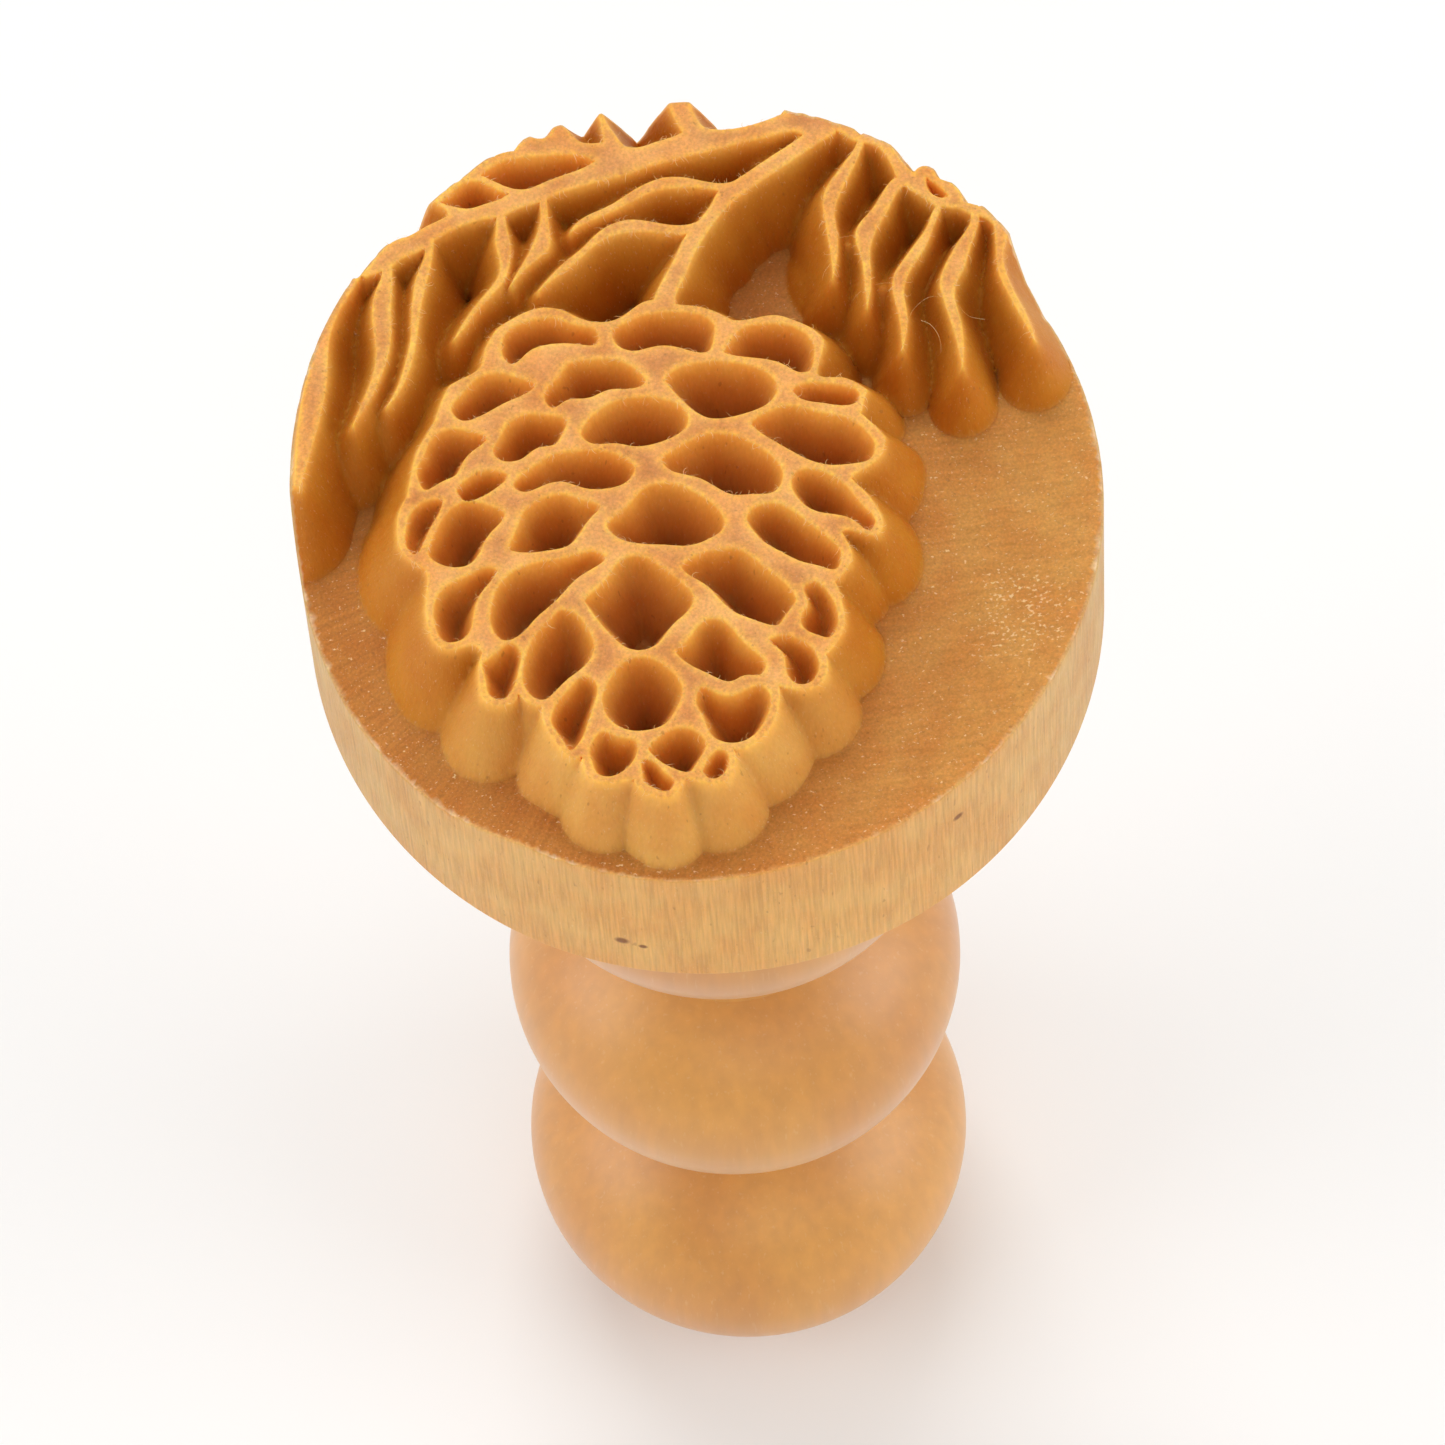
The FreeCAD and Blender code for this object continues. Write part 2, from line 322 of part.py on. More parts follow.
def outline_edges(outline, z):
    """Edges of a closed outline: one smooth curve from each corner to the next."""
    corners = [i for i, point in enumerate(outline) if len(point) == 3]
    if not corners:
        return [smooth_edge([vector(point, z) for point in outline], True)]
    turned = outline[corners[0]:] + outline[:corners[0]]
    turned.append(turned[0])
    edges = []
    run = [vector(turned[0], z)]
    for point in turned[1:]:
        run.append(vector(point, z))
        if len(point) == 3:
            if len(run) == 2:
                edges.append(Part.makeLine(run[0], run[1]))
            else:
                edges.append(smooth_edge(run, False))
            run = [vector(point, z)]
    return edges


def prism(outline, z_low, z_high):
    """Upright solid on a closed outline, between two heights."""
    wire = Part.Wire(outline_edges(outline, z_low))
    return Part.Face(wire).extrude(FreeCAD.Vector(0, 0, z_high - z_low))


def cylinder(radius, z_low, z_high):
    return Part.makeCylinder(radius, z_high - z_low, FreeCAD.Vector(0, 0, z_low))


# ---- head ----
def relief():
    """The standing parts of the carving, a little sunk into the head so that they fuse with it."""
    root_z = GROUND_Z - RELIEF_ROOT
    lands = [CONE, STEM, BRANCH, UPPER_LEAF, LOWER_LEAF, LEFT_RIM, RIGHT_RIM] + NEEDLES
    prisms = [prism(land, root_z, RELIEF_TOP_Z) for land in lands]
    prisms += [prism(web, root_z, RELIEF_TOP_Z - WEB_DROP) for web in WEBS]
    standing = prisms[0].multiFuse(prisms[1:])
    standing = standing.common(cylinder(HEAD_RADIUS, root_z, RELIEF_TOP_Z))
    above = RELIEF_TOP_Z + OVERCUT
    cells = [prism(cell, RELIEF_TOP_Z - CELL_DEPTH, above) for cell in CELLS + RIM_POCKETS]
    notches = [prism(notch, GROUND_Z, above) for notch in RIM_NOTCHES]
    return standing.cut(cells + notches)


def stamp_head():
    """Turned disc with the carving on its end grain and a blind bore in its back."""
    disc = cylinder(HEAD_RADIUS, HEAD_BACK_Z, GROUND_Z)
    back_edge = [edge for edge in disc.Edges
                 if isinstance(edge.Curve, Part.Circle) and abs(edge.Curve.Center.z - HEAD_BACK_Z) < 1e-6]
    disc = disc.makeFillet(EDGE_ROUND, back_edge)
    head = disc.fuse(relief())
    bore_end = HEAD_BACK_Z + DOWEL_IN_HEAD + BORE_SPARE
    bore = cylinder(DOWEL_RADIUS + GLUE_GAP, HEAD_BACK_Z - OVERCUT, bore_end)
    return head.cut(bore).removeSplitter()


# ---- handle ----
def profile_point(radius, z):
    return FreeCAD.Vector(radius, 0, z)


def arc(start, middle, end):
    return Part.Arc(profile_point(*start), profile_point(*middle), profile_point(*end)).toShape()


def ball_height(radius):
    """Distance along the axis from a ball's centre to where its surface has this radius."""
    return BALL_HALF_HEIGHT * math.sqrt(1 - (radius / BALL_RADIUS) ** 2)


def ball_side(centre, radius_below, radius_above):
    """Side of a ball, from where it has one radius below its centre to another above it."""
    ellipse = Part.Ellipse(profile_point(BALL_RADIUS, centre), profile_point(0, centre + BALL_HALF_HEIGHT),
                           profile_point(0, centre))
    first = 2 * math.pi - math.acos(radius_below / BALL_RADIUS)
    last = 2 * math.pi + math.acos(radius_above / BALL_RADIUS)
    return Part.ArcOfEllipse(ellipse, first, last).toShape()


def handle():
    """Turned balls with coves between them, a neck with a collar, and a blind bore in its top."""
    edges = [Part.makeLine(profile_point(0, 0), profile_point(FOOT_RADIUS, 0))]
    for i in range(BALL_COUNT):
        centre = LOWEST_BALL_Z + i * BALL_PITCH
        edges.append(ball_side(centre, FOOT_RADIUS if i == 0 else WAIST_RADIUS, WAIST_RADIUS))
        above = (WAIST_RADIUS, centre + ball_height(WAIST_RADIUS))
        if i < BALL_COUNT - 1:
            below = (WAIST_RADIUS, centre + BALL_PITCH - ball_height(WAIST_RADIUS))
            middle_z = centre + BALL_PITCH / 2
            edges.append(arc(above, (WAIST_RADIUS - WAIST_COVE, middle_z), below))
    collar_z = HEAD_BACK_Z - COLLAR_THICKNESS
    half_collar = COLLAR_THICKNESS / 2
    lip_low = (COLLAR_RADIUS - half_collar, collar_z)
    lip_outer = (COLLAR_RADIUS, HEAD_BACK_Z - half_collar)
    lip_high = (COLLAR_RADIUS - half_collar, HEAD_BACK_Z)
    neck_middle = (NECK_RADIUS, above[1] + NECK_SWEEP * (collar_z - above[1]))
    edges.append(arc(above, neck_middle, lip_low))
    edges.append(arc(lip_low, lip_outer, lip_high))
    edges.append(Part.makeLine(profile_point(*lip_high), profile_point(0, HEAD_BACK_Z)))
    edges.append(Part.makeLine(profile_point(0, HEAD_BACK_Z), profile_point(0, 0)))
    face = Part.Face(Part.Wire(edges))
    stick = face.revolve(FreeCAD.Vector(0, 0, 0), FreeCAD.Vector(0, 0, 1), 360)
    bore_end = HEAD_BACK_Z - DOWEL_IN_HANDLE
    bore = cylinder(DOWEL_RADIUS + GLUE_GAP, bore_end, HEAD_BACK_Z + OVERCUT)
    return stick.cut(bore)


# ---- dowel ----
def dowel_pin():
    """Fluted pin with chamfered ends, standing on the bottom of the handle's bore."""
    z_low = HEAD_BACK_Z - DOWEL_IN_HANDLE
    z_high = HEAD_BACK_Z + DOWEL_IN_HEAD
    pin = cylinder(DOWEL_RADIUS, z_low, z_high)
    rims = [edge for edge in pin.Edges if isinstance(edge.Curve, Part.Circle)]
    pin = pin.makeChamfer(DOWEL_CHAMFER, rims)
    flutes = []
    for i in range(DOWEL_FLUTES):
        angle = 2 * math.pi * i / DOWEL_FLUTES
        x = DOWEL_RADIUS * math.cos(angle)
        y = DOWEL_RADIUS * math.sin(angle)
        flute = cylinder(FLUTE_DEPTH, z_low - OVERCUT, z_high + OVERCUT)
        flute.translate(FreeCAD.Vector(x, y, 0))
        flutes.append(flute)
    return pin.cut(flutes)


def main():
    os.makedirs("parts", exist_ok=True)
    nodes = {"stamp_head": stamp_head(), "handle": handle(), "dowel_pin": dowel_pin()}
    for name, shape in nodes.items():
        solids = shape.Solids
        box = shape.BoundBox
        print(name, "valid", shape.isValid(), "solids", len(solids), "volume", round(shape.Volume, 1),
              "z", round(box.ZMin, 2), round(box.ZMax, 2), "x", round(box.XMin, 2), round(box.XMax, 2))
        solids[0].exportStep("parts/" + name + ".step")


main()
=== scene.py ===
import math

import bpy
import numpy as np
from mathutils import Matrix, Vector, kdtree, noise
from mathutils.bvhtree import BVHTree
from mathutils.geometry import delaunay_2d_cdt


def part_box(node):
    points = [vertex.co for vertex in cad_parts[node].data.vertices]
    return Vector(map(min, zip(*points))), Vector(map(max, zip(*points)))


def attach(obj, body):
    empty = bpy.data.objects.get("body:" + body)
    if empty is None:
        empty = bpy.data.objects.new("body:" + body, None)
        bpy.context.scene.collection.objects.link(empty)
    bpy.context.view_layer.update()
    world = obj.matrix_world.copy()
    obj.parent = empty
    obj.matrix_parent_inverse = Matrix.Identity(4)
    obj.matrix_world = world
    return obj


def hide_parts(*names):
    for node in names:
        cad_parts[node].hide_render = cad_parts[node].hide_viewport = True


# A turned wooden butter stamp, standing on the end of its handle with the carved face up.
# The carved head is modelled anew around the outlines of the CAD relief: flat tops, walls that
# spread as they go down, and a cut ground.  Lengths are in millimetres until a mesh is made, the
# stage is in metres, and colours are linear.

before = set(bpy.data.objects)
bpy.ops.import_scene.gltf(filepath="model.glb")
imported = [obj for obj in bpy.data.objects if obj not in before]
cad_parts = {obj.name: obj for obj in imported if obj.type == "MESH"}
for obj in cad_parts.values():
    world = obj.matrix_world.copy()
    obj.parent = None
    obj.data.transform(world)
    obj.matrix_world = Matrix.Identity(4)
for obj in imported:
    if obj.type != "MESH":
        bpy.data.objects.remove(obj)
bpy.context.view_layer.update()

MM = 0.001
HEAD_LOW, HEAD_HIGH = [Vector(corner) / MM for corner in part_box("stamp_head")]
HANDLE_HIGH = Vector(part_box("handle")[1]) / MM
PIN_LOW, PIN_HIGH = [Vector(corner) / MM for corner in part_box("dowel_pin")]

# ---- sizes of the head ----
HEAD_RADIUS = min(HEAD_HIGH.x, HEAD_HIGH.y, -HEAD_LOW.x, -HEAD_LOW.y)
BACK_Z = HEAD_LOW.z
TOP_Z = HEAD_HIGH.z
RELIEF_HEIGHT = 3.8      # at the middle of the face; the ground rises and falls towards the rim
GROUND_Z = TOP_Z - RELIEF_HEIGHT
WALL_SLOPE = 2.25        # drop of a wall per millimetre outwards, just below its edge
CREASE_STEEPER = 0.45    # how much steeper the walls are next to the creases between two lobes
CREASE_WIDTH = 0.75
NEEDLES_STEEPER = 0.3    # how much steeper the walls are among the right-hand needles
NEEDLES_CENTRE = (9.5, 8.0)
NEEDLES_REACH = 6.0
POCKET_SLOPE = 3.2       # slope in the closed pockets between the scales
POCKET_DEEPER = 0.8      # how far those may go below the ground
WALL_BULGE = 0.09        # how the slope grows on the way down
EDGE_DROP = 0.045        # rounding of the edges of the flat tops
EDGE_WIDTH = 0.12
RAGGED_EDGE = 0.008      # how far the torn fibres leave the edges off their lines
WALL_REACH = 2.3         # no wall runs out further than this
RIM_BREAK = 0.07         # broken edge between the ground and the side
RIM_BREAK_MIDDLE = 0.02  # how far the middle of that edge is in from the side and down from the ground
RIM_CHIPS = 0.16         # how deep the small chips out of that edge are
LEVEL_BELOW = 2.2        # the points round the side are level this far below GROUND_Z
BACK_ROUND = 0.35
GLUE_GAP = 0.05
AIR_ABOVE_PIN = 0.3
BORE_RADIUS = PIN_HIGH.x + GLUE_GAP
BORE_TOP_Z = PIN_HIGH.z + AIR_ABOVE_PIN

# Low saddles across the valleys between the right-hand needles: x, y, depth below the tops.
SADDLES = [(6.75, 9.4, 0.5), (7.95, 7.4, 0.5)]
SADDLE_SLOPE = 1.3

# Height of the cut ground at the rim, above GROUND_Z, by angle from +X in degrees.
RIM_GROUND = [(0, 0.4), (40, -0.3), (70, -0.6), (150, -0.8), (205, -1.35), (226, -0.95), (240, 0.2),
              (262, 0.0), (285, 0.6), (325, 0.95)]
RIM_RAMP_START = 9.0     # radius at which the ground starts to rise or fall towards the rim
RIM_RAMP_BEND = 1.6      # more than 1 makes the ramp steeper towards the rim

# Unevenness of the walls and the ground: depth, size, seed.
CUT_WAVES = [(0.05, 1.9, 3.3), (0.02, 0.45, 8.1)]
UNEVEN_FROM = 1.2        # it is full this far outside the edges of the tops
STREAK_DEPTH = 0.02      # of the streaks that the gouge leaves in the ground
STREAK_WIDTH = 0.5
STREAK_DRAWN_OUT = 6     # how many times longer than wide they are

# ---- sizes of the handle ----
BALL_RADIUS = HANDLE_HIGH.x
BALL_HALF_HEIGHT = 8.0
BALL_PITCH = 20.5
BALL_COUNT = 3
FOOT_RADIUS = 5.07
FOOT_ROUND = 0.15        # the foot is flat to this far inside its radius
FOOT_ROUND_MIDDLE = (0.02, 0.08)     # the middle of its rounded edge: in from the ball, up
WAIST_RADIUS = 5.0
WAIST_COVE = 0.6
NECK_RADIUS = 5.0
NECK_SWEEP = 0.55
COLLAR_RADIUS = 8.6
COLLAR_THICKNESS = 1.3
TOOL_RINGS = 0.012       # depth of the faint rings left by turning
ENDS_PLAIN = 0.05        # the rings stop this far from both ends

# ---- colours ----
TOP_DULL = (0.6, 0.25, 0.08)
TOP_BRIGHT = (0.84, 0.42, 0.14)
# Painted light: a bright glow painted down the top of every wall and in along the edges of the flat tops.
EDGE_PAINTED_LIGHT = (1.0, 0.54, 0.1)
EDGE_PAINTED_LIGHT_DEPTH = 0.28   # how far the painted edge light reaches down the walls
EDGE_PAINTED_LIGHT_WIDTH = 0.2    # how far the painted edge light reaches in from the edges of the tops
POCKET_HIGH = (0.74, 0.31, 0.04)
POCKET_LOW = (0.7, 0.32, 0.08)
OUTER_WALL = (0.54, 0.188, 0.013)
# Painted light: the walls at the front are painted lighter, as if more light fell on them.
FRONT_WALL_PAINTED_LIGHT = (0.71, 0.35, 0.078)
GROUND_LEFT = (0.53, 0.21, 0.04)
GROUND_RIGHT = (0.64, 0.3, 0.066)
SIDE_COLOUR = (0.72, 0.385, 0.115)
SIDE_PAINTED_SHEEN = (0.56, 0.34, 0.14)    # painted grazing sheen: duller, paler colour at the left and right, where the side turns away
PALE_CHIP = (0.84, 0.64, 0.4, 1)
FLECK = (0.93, 0.68, 0.36, 1)
MOTTLE_DEEP = (0.97, 0.87, 0.8, 1)
MOTTLE_PALE = (1.03, 1.06, 1.1, 1)
STREAKS_AROUND = 420.0   # streaks in one turn of the ground
DARK_PORE = (0.26, 0.1, 0.03, 1)
LACQUER_DEEP = (0.58, 0.22, 0.014, 1)
LACQUER_PALE = (0.66, 0.285, 0.03, 1)
DOWEL_DEEP = (0.52, 0.34, 0.17, 1)
DOWEL_PALE = (0.74, 0.56, 0.34, 1)
FIBRE_DEEP = (0.85, 0.45, 0.13, 1)
FIBRE_PALE = (0.9, 0.62, 0.3, 1)
FLOOR_COLOUR = (0.93, 0.93, 0.92, 1)
# Dark spots on the side of the head: angle, millimetres below the tops, size.
DARK_SPOTS = [(254.0, 10.6, 0.35), (257.0, 10.9, 0.22), (305.0, 6.1, 0.3)]
PALE_PATCH = (12.4, -5.8)      # where pale flecks crowd on the ground
PALE_PATCH_REACH = 2.8
POCKET_FADE = 3.0        # the pockets' colour goes from high to low over this depth
FRONT_START = -7.5       # the walls' colour changes to the front's lighter one, painted light, from this y
FRONT_FADE = 4.0         # over this distance
RIGHT_START = -4.0       # the ground's changes to the right-hand one from this x
RIGHT_FADE = 16.0        # over this distance

# ---- loose fibres ----
FIBRE_SHARE = 0.22       # of the points along the edges of the relief that carry a burr
FIBRE_LIMIT = HEAD_RADIUS - 0.03     # no burr stands out past the side of the head
FIBRE_OFF_RIM = 0.3      # and none grows from the rim itself
FIBRE_CEILING = TOP_Z - 0.03
BURR_ROOT = 0.03         # how far in from the edge a burr starts
BURR_LENGTH = (0.08, 0.3)
BURR_RADIUS = (0.006, 0.013)
LONG_HAIRS = 7
HAIR_X = (5.8, 12.5)
HAIR_Y = (4.5, 10.5)
HAIR_LENGTH = (0.8, 2.6)
HAIR_RADIUS = 0.007
STRAND_TAPER = 0.6

# ---- camera, floor and light ----
LENS = 298.96            # millimetres, on a sensor 36 mm wide
SENSOR_WIDTH = 36
CAMERA_REACH = 0.47393   # to the point that it looks at
LOOKING_DOWN = 66        # degrees below the horizon
AIM_ABOVE_BACK = 10.5    # that point is on the axis, this many millimetres above the head's back
FRAMING_PAN = -0.0295    # small turns in degrees that frame the picture
FRAMING_TILT = -1.0607
FRAMING_ROLL = -4.6078
FLOOR_HALF = 3.0
WORLD_LIGHT = 0.57
LIGHTS_AIM = (0, 0, 0.05)
# Soft boxes: name, place, width, height, power.
SOFT_BOXES = [
    ("left_box", (-0.52, -0.1, 0.24), 0.4, 0.4, 1.15),
    ("right_box", (0.52, -0.12, 0.22), 0.4, 0.4, 1.2),
    ("front_box", (0.05, -0.55, 0.34), 0.6, 0.3, 0.45),
    ("back_box", (-0.05, 0.35, 0.5), 0.4, 0.3, 1.2),
]

# ---- points of the meshes: spacing and tolerances ----
OUTLINE_STEP = 0.07
WALL_STEP = 0.125
FLAT_STEP = 0.24
GRID_ROW = 0.866         # distance between the rows of a triangular grid, in steps
GRID_JITTER = 0.15       # in steps
CORNER_ANGLE = 0.6       # a sharper turn than this is a corner of an outline
FOOT_STEP = 0.075
FOOT_CATCH = 0.13        # grid places this near the crease at the foot of a wall are moved onto it
FOOT_ERROR = 0.02        # and dropped if they are still this far off it
FOOT_OFF_EDGE = 0.5      # the crease is at least this far from the edges of the tops
EDGE_ROWS = (-0.045, 0.05)     # two rows of points beside each edge: outside and inside it
WALL_OFF_EDGE = 0.11     # the other points keep this far from the edges,
WALL_OFF_FOOT = 0.07     # this far from the creases
FACE_OFF_RIM = 0.04      # and this far from the rim
ON_THE_LINE = 0.004      # nearer to an edge than this is on it
TOP_ERROR = 0.001        # nearer to the height of the tops than this is on them
RIM_ERROR = 0.01         # and nearer to the side than this is on the rim
RELAX_STEP = 0.6         # share of the way to the mean of its neighbours that a point moves
RIM_POINTS = 1000
BACK_POINTS = RIM_POINTS // 10
BALL_STEPS = 48
COVE_STEPS = 12
NECK_STEPS = 24
LIP_STEPS = 12
HANDLE_POINTS = 192
HEAD_SHARP = 50          # degrees; edges sharper than this are not shaded smooth
HANDLE_SHARP = 40


def new_object(name, points, faces):
    """A piece on the root body, from points in millimetres."""
    mesh = bpy.data.meshes.new(name)
    mesh.from_pydata([tuple(point) for point in np.asarray(points) * MM], [], faces)
    mesh.validate()
    piece = bpy.data.objects.new(name, mesh)
    bpy.context.scene.collection.objects.link(piece)
    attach(piece, "root")
    return piece


# ---- outlines of the relief, read from the CAD ----
def mesh_arrays(node):
    """Points (mm) and triangles of a mesh object."""
    mesh = node.data
    mesh.calc_loop_triangles()
    points = np.empty(len(mesh.vertices) * 3)
    mesh.vertices.foreach_get("co", points)
    triangles = np.empty(len(mesh.loop_triangles) * 3, int)
    mesh.loop_triangles.foreach_get("vertices", triangles)
    return points.reshape(-1, 3) / MM, triangles.reshape(-1, 3)


def top_triangles(points, triangles):
    """Those of the triangles that make up the flat tops."""
    return triangles[(points[triangles][:, :, 2] > TOP_Z - TOP_ERROR).all(axis=1)]


def top_loops(points, triangles):
    """Closed loops of points around the flat tops, with the top on the left."""
    flat, weld = np.unique(np.round(points[:, :2], 4), axis=0, return_inverse=True)
    tops = weld.reshape(-1)[top_triangles(points, triangles)]
    edges = np.concatenate([tops[:, [0, 1]], tops[:, [1, 2]], tops[:, [2, 0]]])
    used = set(map(tuple, edges.tolist()))
    following = {a: b for a, b in sorted(used) if (b, a) not in used}
    loops = []
    while following:
        start = min(following)
        here = following.pop(start)
        loop = [start]
        while here != start:
            loop.append(here)
            here = following.pop(here)
        loops.append(flat[loop])
    return loops


def unit(vectors):
    """The vectors with length 1."""
    return vectors / np.maximum(np.linalg.norm(vectors, axis=1), 1e-9)[:, None]


def turn_angles(loop):
    """How far a loop turns to the left at each of its points, in radians."""
    before = loop - np.roll(loop, 1, axis=0)
    after = np.roll(loop, -1, axis=0) - loop
    return np.arctan2(before[:, 0] * after[:, 1] - before[:, 1] * after[:, 0], (before * after).sum(axis=1))


def smooth_loop(loop):
    """Even samples of a curve through a loop that keeps its sharp corners: points and left normals."""
    before = loop - np.roll(loop, 1, axis=0)
    after = np.roll(loop, -1, axis=0) - loop
    corner = np.abs(turn_angles(loop)) > CORNER_ANGLE
    tangent = unit(unit(before) + unit(after))
    places = []
    for i in range(len(loop)):
        j = (i + 1) % len(loop)
        chord = loop[j] - loop[i]
        length = np.linalg.norm(chord)
        start = chord if corner[i] else tangent[i] * length
        end = chord if corner[j] else tangent[j] * length
        steps = max(1, round(length / OUTLINE_STEP))
        for t in np.arange(steps) / steps:
            places.append((2 * t**3 - 3 * t**2 + 1) * loop[i] + (t**3 - 2 * t**2 + t) * start
                          + (3 * t**2 - 2 * t**3) * loop[j] + (t**3 - t**2) * end)
    places = np.array(places)
    along = unit(np.roll(places, -1, axis=0) - np.roll(places, 1, axis=0))
    return places, np.stack([-along[:, 1], along[:, 0]], axis=1)


# ---- points of the carved face, seen from above ----
def hex_grid(step):
    """A triangular grid over the head, slightly jittered."""
    rng = np.random.default_rng(7)
    rows = int(HEAD_RADIUS / (step * GRID_ROW)) + 1
    columns = int(HEAD_RADIUS / step) + 1
    across = np.arange(-columns, columns + 1) * step
    x, y = np.meshgrid(across, np.arange(-rows, rows + 1) * step * GRID_ROW)
    x[::2] += step / 2
    grid = np.stack([x.ravel(), y.ravel()], axis=1)
    return grid + rng.uniform(-GRID_JITTER, GRID_JITTER, grid.shape) * step


def nearest(tree, places):
    """Distance from each place to the nearest point of a tree."""
    return np.array([tree.find((x, y, 0))[2] for x, y in places])


def tree_of(places):
    """A search tree of places on the face."""
    tree = kdtree.KDTree(len(places))
    for i, (x, y) in enumerate(places):
        tree.insert((x, y, 0), i)
    tree.balance()
    return tree


def ring(radius, count):
    """Even places round a circle."""
    angles = np.arange(count) * 2 * math.pi / count
    return np.stack([radius * np.cos(angles), radius * np.sin(angles)], axis=1)


def inside_tops(points, triangles, places):
    """Which of the places lie on the flat tops."""
    tops = top_triangles(points, triangles)
    surface = BVHTree.FromPolygons([Vector(point) for point in points], [tuple(t) for t in tops.tolist()])
    down = Vector((0, 0, -1))
    return np.array([surface.ray_cast((x, y, TOP_Z + 1), down)[0] is not None for x, y in places])


def ground_height(places):
    """Height of the cut ground, which runs up or down towards the rim."""
    angles = np.degrees(np.arctan2(places[:, 1], places[:, 0]))
    at_rim = np.interp(angles, [a for a, h in RIM_GROUND], [h for a, h in RIM_GROUND], period=360)
    radius = np.linalg.norm(places, axis=1)
    share = np.clip((radius - RIM_RAMP_START) / (HEAD_RADIUS - RIM_RAMP_START), 0, 1)
    return GROUND_Z + at_rim * share ** RIM_RAMP_BEND


def wall_drop(distance, slope):
    """How far a wall has dropped below the tops, at this distance outside their outlines."""
    return EDGE_DROP + slope * distance + WALL_BULGE * distance ** 2


def wall_run(drop, slope):
    """The distance at which a wall has dropped this far."""
    rest = np.maximum(drop - EDGE_DROP, 0)
    return (np.sqrt(slope ** 2 + 4 * WALL_BULGE * rest) - slope) / (2 * WALL_BULGE)


def edge_drop(distance):
    """Rounding at the edge of a flat top, at this distance inside its outline."""
    return EDGE_DROP * np.clip(1 - distance / EDGE_WIDTH, 0, 1) ** 2


def foot_points(grid, outline, slopes, tree):
    """Places along the crease where the walls meet the ground, a little apart from each other."""
    found = [tree.find((x, y, 0)) for x, y in grid]
    distance = np.array([item[2] for item in found])
    nearby = [item[1] for item in found]
    foot = outline[nearby]
    run = wall_run(TOP_Z - ground_height(grid), slopes[nearby])
    close = (np.abs(distance - run) < FOOT_CATCH) & (distance > FOOT_OFF_EDGE)
    offset = grid[close] - foot[close]
    moved = foot[close] + offset * (run[close] / distance[close])[:, None]
    _, kept = np.unique(np.round(moved / FOOT_STEP).astype(int), axis=0, return_index=True)
    moved = moved[kept]
    found = [tree.find((x, y, 0)) for x, y in moved]
    run = wall_run(TOP_Z - ground_height(moved), slopes[[item[1] for item in found]])
    return moved[np.abs(np.array([item[2] for item in found]) - run) < FOOT_ERROR]


def loop_area(loop):
    """Area inside a loop, negative where it goes round a pocket."""
    following = np.roll(loop, -1, axis=0)
    return 0.5 * (loop[:, 0] * following[:, 1] - loop[:, 1] * following[:, 0]).sum()


def crease_closeness(loop, places):
    """1 at a loop's inward corners, where two lobes meet, fading to 0 away from them."""
    creases = loop[turn_angles(loop) < -CORNER_ANGLE]
    if len(creases) == 0:
        return np.zeros(len(places))
    return np.exp(-(nearest(tree_of(creases), places) / CREASE_WIDTH) ** 2)


def cut_lines(points, triangles):
    """Samples along every edge of the tops, slightly ragged: places, inward normals, slopes of the
    walls below them, and which of them are off the rim."""
    outline = []
    inward = []
    slopes = []
    for loop in top_loops(points, triangles):
        places, normals = smooth_loop(loop)
        outline.append(places)
        inward.append(normals)
        if loop_area(loop) < 0:
            slopes.append(np.full(len(places), POCKET_SLOPE))
        else:
            among = np.clip(2 - 2 * np.linalg.norm(places - NEEDLES_CENTRE, axis=1) / NEEDLES_REACH, 0, 1)
            steeper = CREASE_STEEPER * crease_closeness(loop, places) + NEEDLES_STEEPER * among
            slopes.append(WALL_SLOPE * (1 + steeper))
    outline = np.concatenate(outline)
    inward = np.concatenate(inward)
    ragged = RAGGED_EDGE * roughness(outline, 0.16, 2.7) + RAGGED_EDGE * roughness(outline, 0.6, 6.4)
    off_rim = np.linalg.norm(outline, axis=1) < HEAD_RADIUS - RIM_ERROR
    outline = outline + inward * (ragged * off_rim)[:, None]
    return outline, inward, np.concatenate(slopes), off_rim


